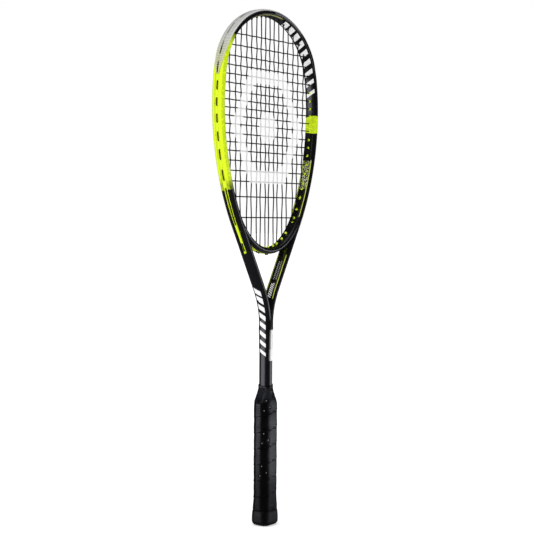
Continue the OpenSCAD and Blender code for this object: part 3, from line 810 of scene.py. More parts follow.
BLEND_LOW_Z = 236               # below this height the shaft is one plain oval
NET_STEP = 0.7
SHAFT_HALF_X = TUBE_HALF_N + LEG_OFFSET
CROTCH_CENTRE = LEG_OFFSET + CROTCH_R
SHAFT_TOP_Z = float(np.interp(SHAFT_START, TABLE_S, TABLE_Z))


def gauge(n, y, half_n, half_y):
    """Signed distance, nearly, to a rounded section."""
    reach = (np.abs(n / half_n) ** SECTION_POWER + np.abs(y / half_y) ** SECTION_POWER)
    return (reach ** (1 / SECTION_POWER) - 1) * half_n


def leg_offset_of(x, z):
    """n of a point beside the right leg's foot or the shaft, and its distance along."""
    dx = CROTCH_CENTRE - x
    dz = z - SHAFT_TOP_Z
    angle = np.arctan2(dz, dx)
    lean = math.radians(LEAN)
    foot = SHAFT_START - CROTCH_R * lean
    n = np.where(angle <= 0, x - LEG_OFFSET, CROTCH_R - np.hypot(dx, dz))
    along = np.where(angle <= 0, SHAFT_START - dz, SHAFT_START - CROTCH_R * angle)
    return n, np.maximum(along, foot)


def smooth_least(a, b, blend):
    """The lesser of two fields, with a fillet where they are close."""
    share = np.clip(1 - np.abs(a - b) / blend, 0, None)
    return np.minimum(a, b) - share * share * blend / 4


def crotch_field(points):
    x, y, z = points[..., 0], points[..., 1], points[..., 2]
    right = gauge(leg_offset_of(x, z)[0], y, TUBE_HALF_N, TUBE_HALF_Y)
    left = gauge(leg_offset_of(-x, z)[0], y, TUBE_HALF_N, TUBE_HALF_Y)
    fade = np.clip((z - BLEND_LOW_Z - 14) / 42, 0, 1)
    depth = TUBE_HALF_Y * np.sqrt(np.clip(1 - fade ** 2, 0.002, 1))
    web = gauge(x, y, SHAFT_HALF_X, depth)
    pair = smooth_least(right, left, 2.4)
    return smooth_least(pair, web, 0.6 + 1.4 * np.clip(fade * 4, 0, 1))


def slope_of(field, points):
    step = 0.01
    out = np.empty(points.shape)
    for axis in range(3):
        shift = np.zeros(3)
        shift[axis] = step
        out[:, axis] = (field(points + shift) - field(points - shift)) / (2 * step)
    return out


def net(field, low, high, step):
    """Quads on the zero surface of a field; its lowest and highest rows stay on the box's ends."""
    low = np.array(low, float)
    sizes = [int(round((high[i] - low[i]) / step)) + 1 for i in range(3)]
    axes = [low[i] + step * np.arange(sizes[i]) for i in range(3)]
    inside = field(np.stack(np.meshgrid(*axes, indexing="ij"), -1)) < 0
    cells = [m - 1 for m in sizes]
    filled = np.zeros(cells, int)
    for i, j, k in itertools.product((0, 1), repeat=3):
        filled += inside[i:i + cells[0], j:j + cells[1], k:k + cells[2]]
    mixed = (filled > 0) & (filled < 8)
    index = np.full(cells, -1)
    index[mixed] = np.arange(mixed.sum())
    where = np.argwhere(mixed)
    points = low + (where + 0.5) * step
    ends = (where[:, 2] == 0) | (where[:, 2] == cells[2] - 1)
    faces = []
    for axis in range(3):
        a, b = [i for i in range(3) if i != axis]
        ahead = np.roll(inside, -1, axis)
        crossing = inside != ahead
        for spot in np.argwhere(crossing):
            if spot[axis] >= cells[axis] or min(spot[a], spot[b]) < 1:
                continue
            if spot[a] >= cells[a] or spot[b] >= cells[b]:
                continue
            ring = []
            for da, db in ((-1, -1), (0, -1), (0, 0), (-1, 0)):
                cell = spot.copy()
                cell[a] += da
                cell[b] += db
                ring.append(index[tuple(cell)])
            if min(ring) >= 0:
                faces.append(ring)
    pairs = np.array([(f[i], f[(i + 1) % 4]) for f in faces for i in range(4)])
    pairs = np.concatenate([pairs, pairs[:, ::-1]])
    count = np.bincount(pairs[:, 0], minlength=len(points)).astype(float)
    for turn in range(14):
        if turn < 10:
            total = np.stack([np.bincount(pairs[:, 0], points[pairs[:, 1], i], len(points))
                              for i in range(3)], -1)
            moved = points + 0.5 * (total / np.maximum(count, 1)[:, None] - points)
            moved[ends] = points[ends]
            points = moved
        for _ in range(2):
            slope = slope_of(field, points)
            slope[ends, 2] = 0
            size = np.maximum((slope ** 2).sum(1), 0.04)
            points = points - slope * (field(points) / size)[:, None]
    return points, faces


def make_shaft(material):
    """The shaft and the crotch, where the two legs blend into it."""
    half = NET_STEP / 2
    low = (-15.4, -10.5, BLEND_LOW_Z - half)
    high = (15.4, 10.5, BLEND_LOW_Z + half + NET_STEP * round((LEG_CUT_Z - BLEND_LOW_Z) / NET_STEP))
    points, faces = net(crotch_field, low, high, NET_STEP)
    top = points[:, 2].max()
    points[:, 2] = BLEND_LOW_Z + (points[:, 2] - BLEND_LOW_Z) * (LEG_CUT_Z - BLEND_LOW_Z) / (
        top - BLEND_LOW_Z)
    n, along = leg_offset_of(np.abs(points[:, 0]), points[:, 2])
    shape = Shape()
    shape.add_net(points, np.stack([along, n, points[:, 1]], -1), faces)
    v = even_angles(0, 2 * math.pi, 73, SHAFT_HALF_X)[:-1]
    x, y = oval(v, SHAFT_HALF_X)
    heights = np.linspace(SHAFT_LOW, BLEND_LOW_Z, 60)
    rows = np.array([np.stack([x, y, np.full(72, h)], -1) for h in heights])
    along = SHAFT_START + SHAFT_TOP_Z - rows[..., 2]
    shape.add_grid(rows, np.stack([along, np.abs(rows[..., 0]) - LEG_OFFSET, rows[..., 1]], -1))
    shape.make("shaft", material, "frame_paint", stands_for=["shaft_tube"])


# ---------------------------------------------------------------- bridge

BRIDGE_Z = 371.6                # height of its inner face at the middle
BRIDGE_R = 60                   # radius of the middle arc
BRIDGE_TURN = 35                # half angle of the middle arc
BRIDGE_END = 61                 # where its inner face is level with the leg's
BRIDGE_HALF_T = 4.5             # half thickness, face on
BRIDGE_HALF_Y = 8.8             # half depth, through the string bed
THROAT_GROOVE_HALF = 3.4        # half width of the groove under it
THROAT_GROOVE_N = 3.5
BRIDGE_MAINS = 5                # mains on each side that pass through the bridge
BRIDGE_OUT_X = (3.5, 15, 23, 34, 39.5)


def bridge_blend():
    """Radius and centre of the flatter arcs that carry the bridge into the legs."""
    lean = math.radians(LEAN)
    out = np.array([math.cos(lean), -math.sin(lean)])
    start = place(LEG_START, -TUBE_HALF_N, 0)
    gap = out[0] * start[0] + out[1] * (start[2] - BRIDGE_Z)
    turn = math.cos(math.radians(90 - LEAN - BRIDGE_TURN))
    radius = (gap - out[1] * BRIDGE_R - BRIDGE_R * turn) / (1 - turn)
    angle = math.radians(BRIDGE_TURN)
    centre = np.array([0, BRIDGE_Z + BRIDGE_R]) + (BRIDGE_R - radius) * np.array(
        [math.sin(angle), -math.cos(angle)])
    return radius, centre


BLEND_R, BLEND_CENTRE = bridge_blend()


def on_bridge(q, depth, y=0.0):
    """Points at angle q from straight down, at a depth below the bridge's inner face."""
    q, depth, y = np.broadcast_arrays(np.asarray(q, float), depth, y)
    away = np.abs(q)
    mid = away < math.radians(BRIDGE_TURN)
    radius = np.where(mid, BRIDGE_R, BLEND_R) + depth
    cx = np.where(mid, 0, BLEND_CENTRE[0])
    cz = np.where(mid, BRIDGE_Z + BRIDGE_R, BLEND_CENTRE[1])
    x = np.sign(q) * (cx + radius * np.sin(away))
    return np.stack([np.where(q == 0, 0, x), y, cz - radius * np.cos(away)], -1)


def bridge_angle(x):
    if x < BRIDGE_R * math.sin(math.radians(BRIDGE_TURN)):
        return math.asin(x / BRIDGE_R)
    return math.asin((x - BLEND_CENTRE[0]) / BLEND_R)


def make_bridge(material):
    start = oval_angle(BRIDGE_HALF_Y, THROAT_GROOVE_HALF + 0.2)
    n, y = oval(even_angles(start, 2 * math.pi - start, 52, BRIDGE_HALF_T, BRIDGE_HALF_Y),
                BRIDGE_HALF_T, BRIDGE_HALF_Y)
    floor_y = THROAT_GROOVE_HALF * np.array([-1, -0.98, 0, 0.98, 1])
    floor_n = np.array([n[0] - 0.1, THROAT_GROOVE_N, THROAT_GROOVE_N, THROAT_GROOVE_N, n[0] - 0.1])
    n = np.concatenate([n, floor_n])
    y = np.concatenate([y, floor_y])
    rows = []
    for q in np.radians(np.linspace(-BRIDGE_END, BRIDGE_END, 150)):
        sink = 0.25 * max(0.0, (abs(math.degrees(q)) - 52) / (BRIDGE_END - 52)) ** 2
        thin = 1 - 0.3 * max(0.0, (abs(math.degrees(q)) - 45) / (BRIDGE_END - 45))
        rows.append(on_bridge(np.full(len(n), q), (BRIDGE_HALF_T + n) * thin + sink, y))
    shape = Shape()
    shape.add_grid(np.array(rows))
    shape.make("throat_bridge_skin", material, "bridge_paint", stands_for=["throat_bridge"])


# ---------------------------------------------------------------- string holes

# x of the right half's mains at the top and at the foot of the bed, and heights of the crosses
MAIN_TOP = (4.6, 14.2, 24, 34.8, 45.2, 57, 68.7, 81.6)
MAIN_LOW = (3.5, 15, 23, 35, 44.5, 57.4, 66.5, 78)
CROSS_Z = (647.5, 632.5, 618.5, 606.5, 595, 583.5, 572.5, 562, 552, 541.5,
           531, 519, 508, 497, 484.5, 471.5, 458, 438, 411)
BARREL_R = 1.4                  # outer radius of a grommet barrel
BORE_R = 0.8                    # radius of its bore
TIP_N = -TUBE_HALF_N - 1.8      # inner end of each barrel
STRING_R = 0.78                 # radius of a string as drawn
RUN_N = 3.73                    # centre of a string lying in the groove
GUARD_CROSSES = 5               # crosses whose barrels belong to the bumper guard

TOP_S = [along_at_x(x, TIP_N, True) for x in MAIN_TOP]
TOP_OUT_S = [along_at_x(x, GROOVE_FLOOR, True) for x in MAIN_TOP]
LOW_S = [along_at_x(x, TIP_N, False) for x in MAIN_LOW[BRIDGE_MAINS:]]
CROSS_S = [along_at_height(z, TIP_N) for z in CROSS_Z]
CROSS_OUT_S = [along_at_height(z, GROOVE_FLOOR) for z in CROSS_Z]
TOP_HOLES = list(zip(TOP_S, TOP_OUT_S))         # along, at each barrel's tip and foot
CROSS_HOLES = list(zip(CROSS_S, CROSS_OUT_S))
MAINS = len(MAIN_TOP)
CROSSES = len(CROSS_Z)
TIE_S = LOW_S[-1] + math.radians(2.2) * HEAD_ARCS[3][0]


# radius and n along a grommet barrel: flared foot, rounded tip and the bore back down
BARREL_PROFILE = ((BARREL_R + 0.25, -TUBE_HALF_N + 0.8), (BARREL_R + 0.2, -TUBE_HALF_N - 0.1),
                  (BARREL_R, -TUBE_HALF_N - 0.45), (BARREL_R - 0.05, TIP_N + 0.25),
                  (BARREL_R - 0.25, TIP_N), (BORE_R + 0.12, TIP_N), (BORE_R, TIP_N + 0.2),
                  (BORE_R, TIP_N + 2.5))


def barrel(shape, spot, out, sides=16):
    """A grommet barrel whose axis passes spot (n = 0) in the direction out."""
    a = ring_angles(sides)
    ring = np.cos(a)[:, None] * np.cross(out, (0, 1, 0)) + np.sin(a)[:, None] * np.array([0, 1, 0])
    shape.add_grid(np.array([spot + out * n + ring * r for r, n in BARREL_PROFILE]))


def frame_barrel(shape, s, out_s, side):
    """A barrel from its tip at s to where its hole opens in the groove, at out_s."""
    tip = place(s, TIP_N, 0, side)
    out = place(out_s, GROOVE_FLOOR, 0, side) - tip
    out /= np.linalg.norm(out)
    barrel(shape, tip + out * (slimmer(s) - TIP_N), out)


# ---------------------------------------------------------------- bumper guard

GUARD_TIP = along_at_height(592)
GUARD_EDGE = ((0, 46), (51, 49), (75, 55), (110, 55), (116, 50), (123, 43), (129, 38), (134.5, 30),
              (139.5, 21), (144, 12), (GUARD_TIP - 0.6, 7), (GUARD_TIP, 2.5))   # along, half angle
GUARD_COLUMNS = 61
RIB_PITCH = 2.3                 # spacing of the guard's ribs
# code for the painted shadow of a string lying in the guard's slot
STRING_SHADOW_CODE = -1                # painted in place of the distance to the rim, under a string


def runs_on(side):
    """Stretches of the outer groove in which a string lies, by distance along, on one half."""
    tops = [(TOP_OUT_S[i], TOP_OUT_S[i + 1]) for i in range(0, MAINS, 2)]
    crosses = [(CROSS_OUT_S[j], CROSS_OUT_S[j + 1]) for j in range(int(side < 0), CROSSES - 1, 2)]
    return tops + crosses + [(LOW_S[1], LOW_S[0]), (LOW_S[2], TIE_S)]


def string_share(s, side):
    """1 where a string lies in the groove at distance s, and 0 where none does."""
    share = 0.0
    for start, stop in runs_on(side):
        share = max(share, min(1.0, max(0.0, min(s - start + 1.2, stop - s + 1.2) / 0.8)))
    return share


def make_guard(material, barrels):
    edge_s, edge_v = zip(*GUARD_EDGE)
    half = GUARD_TIP * np.linspace(0, 1, 320) ** 0.95
    stations = np.concatenate([-half[::-1], half[1:]])
    outer = []
    inner = []
    paint = []
    for s in stations:
        reach = math.radians(float(np.interp(abs(s), edge_s, edge_v)))
        v = even_angles(-reach, reach, GUARD_COLUMNS)
        run = run_along(*oval(v))
        run -= run[-1] / 2
        rim = np.minimum(run - run[0], run[-1] - run)
        rib = 0.07 * (math.cos(2 * math.pi * s / RIB_PITCH) - 1) * np.clip(rim / 1.5, 0, 1)
        thick = np.minimum(GUARD_T + rib, 0.25 + np.sqrt(np.maximum(rim, 0)) * 1.1)
        out_n, out_y = oval(v, TUBE_HALF_N + thick, TUBE_HALF_Y + thick)
        inn_n, inn_y = oval(v, TUBE_HALF_N + 0.03, TUBE_HALF_Y + 0.03)
        share = string_share(abs(s), np.sign(s) or 1)
        floor = 5.25 - share * (5.25 - RUN_N + STRING_R)
        slot = np.clip((1.2 - np.abs(out_y)) / 0.3, 0, 1)
        out_n = np.where(slot > 0, np.minimum(out_n, out_n + slot * (floor - out_n)), out_n)
        seat = np.clip((3.3 - np.abs(inn_y)) / 0.2, 0, 1)
        inn_n = inn_n + seat * (GROOVE_FLOOR + 0.05 - inn_n)
        rim = np.where((slot > 0) & (share > 0.5), STRING_SHADOW_CODE, rim)
        spot = np.full(len(v), s)
        outer.append(signed_place(spot, out_n, out_y))
        inner.append(signed_place(spot, inn_n, inn_y)[::-1])
        paint.append(np.concatenate([np.stack([np.abs(spot), rim, out_y], -1),
                                     np.stack([np.abs(spot), rim, inn_y], -1)[::-1]]))
    shape = Shape()
    shape.add_grid(np.concatenate([np.array(outer), np.array(inner)], 1), np.array(paint))
    skin_faces = len(shape.faces)
    for side in (-1, 1):
        for s, out_s in TOP_HOLES + CROSS_HOLES[:GUARD_CROSSES]:
            frame_barrel(shape, s, out_s, side)
    piece = shape.make("bumper_guard_moulding", material, "bumper_nylon", stands_for=["bumper_guard"],
                       extra=[barrels], sharp=50)
    for face in piece.data.polygons:
        if face.index >= skin_faces:
            face.material_index = 1


# ---------------------------------------------------------------- grommet strips

STRIP_HALF = 3.2                # half width of the grommet strips


def mirrored(half):
    """Columns of n and y of a section, from the points of its front half."""
    return np.array(half + [(n, -y) for n, y in reversed(half)]).T


def strip_half(left, least):
    """Half width of a strip at a distance from its rounded end."""
    if left >= STRIP_HALF:
        return STRIP_HALF
    return max(least, math.sqrt(STRIP_HALF ** 2 - (STRIP_HALF - left) ** 2))


def strip_section(share, half):
    """Strip in the groove: lips at its edges, and a middle that is low where a string lies."""
    base = GROOVE_FLOOR + 0.05
    low = RUN_N - STRING_R - 0.02
    mid = low + (1 - share) * 0.95
    n, y = mirrored([(base, -STRIP_HALF), (low + 0.7, -STRIP_HALF), (low + 0.9, -3.0), (low + 0.9, -2.6),
                     (low + 0.55, -2.35), (low + 0.1, -2.0), (low, -1.5), (mid, -1.1)])
    return n, y * (half / STRIP_HALF)


def make_side_strip(name, node, side, material):
    end = LEG_START + GROOVE_LEN - 0.15
    stations = np.concatenate([np.linspace(GUARD_TIP - 3, end - STRIP_HALF, 260),
                               end - STRIP_HALF * (1 - np.sin(np.linspace(0.1, math.pi / 2, 10)))])
    rows = []
    paint = []
    for s in stations:
        n, y = strip_section(string_share(s, side), strip_half(end - s, 0.25))
        rows.append(place(np.full(len(n), s), n, y, side))
        paint.append(np.stack([np.full(len(n), s), n, y], -1))
    shape = Shape()
    shape.add_grid(np.array(rows), np.array(paint))
    for s, out_s in CROSS_HOLES[GUARD_CROSSES:] + [(s, s) for s in LOW_S + [TIE_S]]:
        frame_barrel(shape, s, out_s, side)
    shape.make(name, material, "grommet_nylon", stands_for=[node], sharp=30)


def bridge_holes(side):
    """Inner and outer ends of each grommet through the bridge, on one half."""
    pairs = []
    for x, out_x in zip(MAIN_LOW[:BRIDGE_MAINS], BRIDGE_OUT_X):
        depth = BRIDGE_HALF_T + THROAT_GROOVE_N
        a = on_bridge(bridge_angle(x), -1.8)
        b = on_bridge(math.asin(out_x / (BRIDGE_R + depth)), depth)
        pairs.append((a * (side, 1, 1), b * (side, 1, 1)))
    return pairs


def make_throat_strip(material):
    base = BRIDGE_HALF_T + THROAT_GROOVE_N - 0.15
    reach = math.radians(37)
    depth, y = mirrored([(base, -STRIP_HALF), (base + 0.7, -STRIP_HALF), (base + 0.95, -3.0),
                         (base + 0.95, -2.5), (base + 0.75, -2.1)])
    rows = []
    for q in np.linspace(-reach, reach, 90):
        share = strip_half((reach - abs(q)) * BRIDGE_R, 0.08 * STRIP_HALF) / STRIP_HALF
        rows.append(on_bridge(np.full(len(y), q), depth, y * share))
    shape = Shape()
    shape.add_grid(np.array(rows))
    for side in (-1, 1):
        for a, b in bridge_holes(side):
            out = (b - a) / np.linalg.norm(b - a)
            barrel(shape, a - out * TIP_N, out)
    shape.make("throat_strip", material, "grommet_nylon", stands_for=["throat_grommet_strip"], sharp=30)


# ---------------------------------------------------------------- strings

MAIN_LIFT = 0.45                # how far a main string bows at a crossing
CROSS_LIFT = 1.0
BEND_R = 1.3
CROSS_TIE = 5.5                 # from a cross string's last hole to where its end goes in


def main_rank(i):
    return (MAINS - 1 - i, -1) if i < MAINS else (i - MAINS, 1)


def tips(i):
    """Where main i meets its upper and lower barrel tips."""
    rank, side = main_rank(i)
    upper = place(TOP_S[rank], TIP_N, 0, side)
    if rank >= BRIDGE_MAINS:
        return upper, place(LOW_S[rank - BRIDGE_MAINS], TIP_N, 0, side)
    return upper, bridge_holes(side)[rank][0]


def main_x(i, z):
    upper, lower = tips(i)
    return lower[0] + (upper[0] - lower[0]) * (z - lower[2]) / (upper[2] - lower[2])


def crossings(i):
    """Crosses that main i meets, from the top down."""
    upper, lower = tips(i)
    return [j for j in range(CROSSES) if lower[2] + 1.5 < CROSS_Z[j] < upper[2] - 1.5]


def woven(spots, lifts, steps=5):
    """A line through spots that passes them at the given lifts along y, as a string bends."""
    out = []
    for a, b, la, lb in zip(spots[:-1], spots[1:], lifts[:-1], lifts[1:]):
        for k in range(steps):
            f = k / steps
            y = (la + lb) / 2 + (la - lb) / 2 * math.cos(math.pi * f)
            point = a + (b - a) * f
            out.append((point[0], y, point[2]))
    out.append((spots[-1][0], lifts[-1], spots[-1][2]))
    return out


def bend(s, way, side):
    """A string coming out of the hole at s and turning to run along the groove."""
    out = []
    for a in np.radians((0, 22, 45, 68, 90)):
        at = s + way * BEND_R * (1 - math.cos(a))
        out.append(place(at, RUN_N - BEND_R * (1 - math.sin(a)), 0, side))
    return out


def groove_run(s0, s1, side):
    """A string from the hole at s0 along the groove to the hole at s1."""
    way = 1 if s1 > s0 else -1
    middle = [place(s, RUN_N, 0, side) for s in np.linspace(s0 + way * BEND_R, s1 - way * BEND_R, 6)]
    return bend(s0, way, side) + middle[1:-1] + bend(s1, -way, side)[::-1]


def bridge_run(i, k):
    """A string under the bridge, from main i's grommet to main k's."""
    ends = []
    for m in (i, k):
        rank, side = main_rank(m)
        a, b = bridge_holes(side)[rank]
        ends.append((a, b, math.atan2(b[0], BRIDGE_Z + BRIDGE_R - b[2])))
    depth = BRIDGE_HALF_T + THROAT_GROOVE_N + 0.8 + STRING_R
    (_, b0, q0), (_, b1, q1) = ends
    way = 1 if q1 > q0 else -1
    turn = BEND_R / (BRIDGE_R + depth)
    arc = [on_bridge(q, depth) for q in np.linspace(q0 + way * turn, q1 - way * turn, 6)]
    return [b0, *arc, b1]


def lower_link(i, k):
    """The string between the lower ends of mains i and k."""
    rank_i, side_i = main_rank(i)
    rank_k, side_k = main_rank(k)
    if rank_i >= BRIDGE_MAINS and rank_k >= BRIDGE_MAINS and side_i == side_k:
        return groove_run(LOW_S[rank_i - BRIDGE_MAINS], LOW_S[rank_k - BRIDGE_MAINS], side_i)
    if rank_i < BRIDGE_MAINS and rank_k < BRIDGE_MAINS:
        return bridge_run(i, k)
    raise ValueError("neighbouring mains end in different parts of the frame")


def bed_of_main(i):
    """Main i through the string bed, from its upper tip to its lower tip."""
    upper, lower = tips(i)
    spots = [upper]
    lifts = [0.0]
    for j in crossings(i):
        spots.append(np.array([main_x(i, CROSS_Z[j]), 0, CROSS_Z[j]]))
        lifts.append(-MAIN_LIFT if (i + j) % 2 == 0 else MAIN_LIFT)
    return woven(spots + [lower], lifts + [0.0])


def tie(s, stop, side):
    """A string's end: along the groove from the hole at s to the one at stop, and in through it."""
    return groove_run(s, stop, side) + [place(stop, TIP_N - 0.6, 0, side)]


def main_route():
    route = []
    for i in range(2 * MAINS):
        bed = bed_of_main(i)
        rank, side = main_rank(i)
        if i % 2 == 0:
            start = tie(LOW_S[-1], TIE_S, side)[::-1] if i == 0 else []
            route += start + bed[::-1]
            next_rank, _ = main_rank(i + 1)
            route += groove_run(TOP_OUT_S[rank], TOP_OUT_S[next_rank], side)
        else:
            route += bed
            route += tie(LOW_S[-1], TIE_S, side) if i == 2 * MAINS - 1 else lower_link(i, i + 1)
    return route


def cross_route():
    route = []
    for j in range(CROSSES):
        side = 1 if j % 2 == 0 else -1
        spots = [place(CROSS_S[j], TIP_N, 0, -1)]
        lifts = [0.0]
        for i in range(2 * MAINS):
            if j in crossings(i):
                spots.append(np.array([main_x(i, CROSS_Z[j]), 0, CROSS_Z[j]]))
                lifts.append(CROSS_LIFT if (i + j) % 2 == 0 else -CROSS_LIFT)
        spots.append(place(CROSS_S[j], TIP_N, 0, 1))
        bed = woven(spots, lifts + [0.0])
        if j == 0:
            route += tie(CROSS_OUT_S[0], CROSS_OUT_S[0] - CROSS_TIE, -1)[::-1]
        route += bed if side > 0 else bed[::-1]
        if j < CROSSES - 1:
            route += groove_run(CROSS_OUT_S[j], CROSS_OUT_S[j + 1], side)
        else:
            route += tie(CROSS_OUT_S[j], CROSS_OUT_S[j] - CROSS_TIE, side)
    return route


def string_mesh(name, route, node, material):
    route = without_repeats(route)
    run = np.concatenate([[0], np.cumsum(np.linalg.norm(np.diff(route, axis=0), axis=1))])
    turn = ring_angles(8)
    paint = np.stack([np.repeat(run[:, None], len(turn), 1), np.tile(turn, (len(run), 1)),
                      np.zeros((len(run), len(turn)))], -1)
    shape = Shape()
    tube(shape, route, STRING_R, len(turn), paint)
    shape.make(name, material, "string", stands_for=[node], sharp=80, close=False)


def knot(shape, spot, size):
    """A small overhand knot."""
    t = np.linspace(0, 2 * math.pi, 61)
    x = np.sin(t) + 2 * np.sin(2 * t)
    y = np.cos(t) - 2 * np.cos(2 * t)
    z = -np.sin(3 * t)
    route = np.stack([x, z * 1.3, y], -1) * size / 3
    tube(shape, route + spot, STRING_R * 0.82, 8)


def make_knots(material):
    shape = Shape()
    for side in (-1, 1):
        knot(shape, place(TIE_S, TIP_N - 1.3, 0, side), 1.0)
    shape.make("string_knots", material, "string", stands_for=["tie_off_knots"], sharp=80, close=False)


# ---------------------------------------------------------------- handle

BUTT_RIM_Z = low_of("grip_wrap")  # where the wrap meets the butt cap
GRIP_TOP_Z = top_of("grip_wrap")
TAPE_TOP_Z = top_of("finishing_tape")
GRIP_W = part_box("grip_wrap")[1].x / MM * 2
GRIP_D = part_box("grip_wrap")[1].y / MM * 2
GRIP_CORNER = 10.5              # corner radius of the handle's section
WRAP_FLARE = 1.0                # how far the wrap widens where it meets the butt cap
GRIP_PLUMP = 0.3                # the wrap bulges over its plain CAD outline by this much
GRIP_END_T = 0.6                # how far the wrap stands off the shaft at its upper end
GRIP_SHOULDER_Z = 162           # where the handle starts to narrow
PALLET_SHOULDER_Z = 162         # where the pallets start to narrow in CAD
PALLET_SHARE = 0.5              # share of the height of their taper that is kept
BUTT_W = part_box("butt_cap")[1].x / MM * 2
BUTT_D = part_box("butt_cap")[1].y / MM * 2
BUTT_CORNER = 10                # corner radius of the cap's section
BUTT_EDGE = 6
BUTT_WIDEST_Z = 12              # height at which the cap is widest
WRAP_LEAD = 21.5                # height between turns of the wrap
WRAP_RISE = 7.6                 # height by which the wrap's seams are shifted
WRAP_TURN = 97                  # length of one turn
SIDE_BOW = 0.95                 # how far the handle's sides and faces bulge
FACE_BOW = 0.4
RIB_STEP = 2.4                  # embossed ribs across the strip
PIT_R = 1.9                     # radius of a pit pressed into the strip
PIT_GLINT_R = 0.6                    # radius of the painted highlight in its middle
PIT_LOW_Z = 50                  # the strip is plain below this height
PIT_GROUP = ((-8.0, -16.9), (2.3, -10.0), (4.4, -19.3))     # down the strip's width, and along it
PIT_GAP = 65.6                  # length of strip from one group of pits to the next


def rounded_outline(width, depth, corner, count):
    """Points evenly spaced round a rounded rectangle, their outward normals and distances."""
    corner = min(corner, width / 2 - 0.01, depth / 2 - 0.01)
    a = np.linspace(0, math.pi / 2, 60)
    xs = []
    ys = []
    for k in range(4):
        centre_x = (width / 2 - corner) * (1, -1, -1, 1)[k]
        centre_y = (depth / 2 - corner) * (1, 1, -1, -1)[k]
        xs.append(centre_x + corner * np.cos(a + k * math.pi / 2))
        ys.append(centre_y + corner * np.sin(a + k * math.pi / 2))
    x = np.concatenate(xs + [[xs[0][0]]])
    y = np.concatenate(ys + [[ys[0][0]]])
    run = run_along(x, y)
    at = (np.arange(count) + 0.5) * run[-1] / count
    step = 0.05
    ahead = (at + step) % run[-1]
    behind = (at - step) % run[-1]
    dx = np.interp(ahead, run, x) - np.interp(behind, run, x)
    dy = np.interp(ahead, run, y) - np.interp(behind, run, y)
    size = np.hypot(dx, dy)
    return np.interp(at, run, x), np.interp(at, run, y), dy / size, -dx / size, at / run[-1]


def blend(a, b, share):
    return a + (b - a) * share


def handle_size(z, grow=0.0):
    """Width, depth and corner radius of the wrapped handle at height z."""
    share = eased((z - GRIP_SHOULDER_Z) / (GRIP_TOP_Z - GRIP_SHOULDER_Z))
    width = blend(GRIP_W + 2 * GRIP_PLUMP, 2 * (SHAFT_HALF_X + GRIP_END_T), share)
    depth = blend(GRIP_D + 2 * GRIP_PLUMP, 2 * (TUBE_HALF_Y + GRIP_END_T), share)
    return width + 2 * grow, depth + 2 * grow, blend(GRIP_CORNER, 5, share) + grow


def pit_shares(length, part):
    """Share of pit and of its painted highlight, over distance along the strip and part of its width."""
    pit = np.zeros(np.shape(length))
    pit_glint = np.zeros(np.shape(length))
    for down, ahead in PIT_GROUP:
        off_along = (length - ahead + PIT_GAP / 2) % PIT_GAP - PIT_GAP / 2
        off_wide = (0.5 - part) * WRAP_LEAD - down
        away = np.hypot(off_along, off_wide)
        pit = np.maximum(pit, np.clip((PIT_R - away) / 0.5, 0, 1))
        pit_glint = np.maximum(pit_glint, np.clip((PIT_GLINT_R - away) / 0.25, 0, 1))
    return pit, pit_glint


def wrap_relief(round_share, z):
    """Height of the wrap over the plain handle, and its pit and painted highlight shares."""
    climb = (z - WRAP_RISE) / WRAP_LEAD - round_share
    part = climb % 1.0
    length = np.floor(climb) * WRAP_TURN + round_share * WRAP_TURN
    ridge = 0.34 * np.exp(-(part / 0.12) ** 2) - 0.30 * np.exp(-((1 - part) / 0.04) ** 2)
    cushion = 0.14 * np.sin(math.pi * part)
    rib = 0.05 * np.cos(2 * math.pi * z / RIB_STEP)
    pit, pit_glint = (share * (z > PIT_LOW_Z) for share in pit_shares(length, part))
    swell = 0.16 * np.sin(length * 0.19 + 2.0 * np.sin(climb * 1.7)) * np.cos(z * 0.21 + length * 0.05)
    return ridge + cushion + rib + swell - 0.5 * pit - 0.12, pit, pit_glint


def make_grip(material):
    columns = 240
    heights = np.concatenate([np.arange(BUTT_RIM_Z + 0.05, GRIP_TOP_Z - 0.3, 0.4), [GRIP_TOP_Z - 0.02]])
    rows = []
    paint = []
    for z in heights:
        x, y, nx, ny, share = rounded_outline(*handle_size(z), columns)
        width, depth, _ = handle_size(z)
        bow = SIDE_BOW * nx ** 2 * (1 - (2 * y / depth) ** 2)
        bow += FACE_BOW * ny ** 2 * (1 - (2 * x / width) ** 2)
        relief, pit, pit_glint = wrap_relief(share, z)
        fade = max(0.0, min(1.0, (z - BUTT_RIM_Z) / 1.5, (GRIP_TOP_Z - z) / 3))
        flare = WRAP_FLARE * max(0.0, 1 - (z - BUTT_RIM_Z) / 22) ** 1.6
        relief = (relief + bow) * fade - 0.25 * (1 - fade) + flare
        rows.append(np.stack([x + nx * relief, y + ny * relief, np.full(columns, z)], -1))
        paint.append(np.stack([np.full(columns, z), pit, pit_glint], -1))
    for z in (heights[-1], heights[0]):
        x, y, *_ = rounded_outline(*handle_size(z, -1.75), columns)
        rows.append(np.stack([x, y, np.full(columns, z)], -1))
    rows.append(rows[0])
    paint += [paint[0] * 0] * 3
    shape = Shape()
    shape.add_grid(np.array(rows), np.array(paint))
    shape.make("grip_wrap_turns", material, "grip_pu", stands_for=["grip_wrap"], sharp=60, close=False)


def make_pallet(name, node, material):
    """The CAD pallet with its taper drawn down, clear of the wrap's slimmer upper end."""
    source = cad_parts[node]
    points = np.array([source.matrix_world @ vertex.co for vertex in source.data.vertices]) / MM
    over = np.maximum(points[:, 2] - PALLET_SHOULDER_Z, 0)
    points[:, 2] -= over * (1 - PALLET_SHARE)
    faces = [list(face.vertices) for face in source.data.polygons]
    add_piece(name, points, faces, material, "handle_foam", stands_for=[node], close=False)


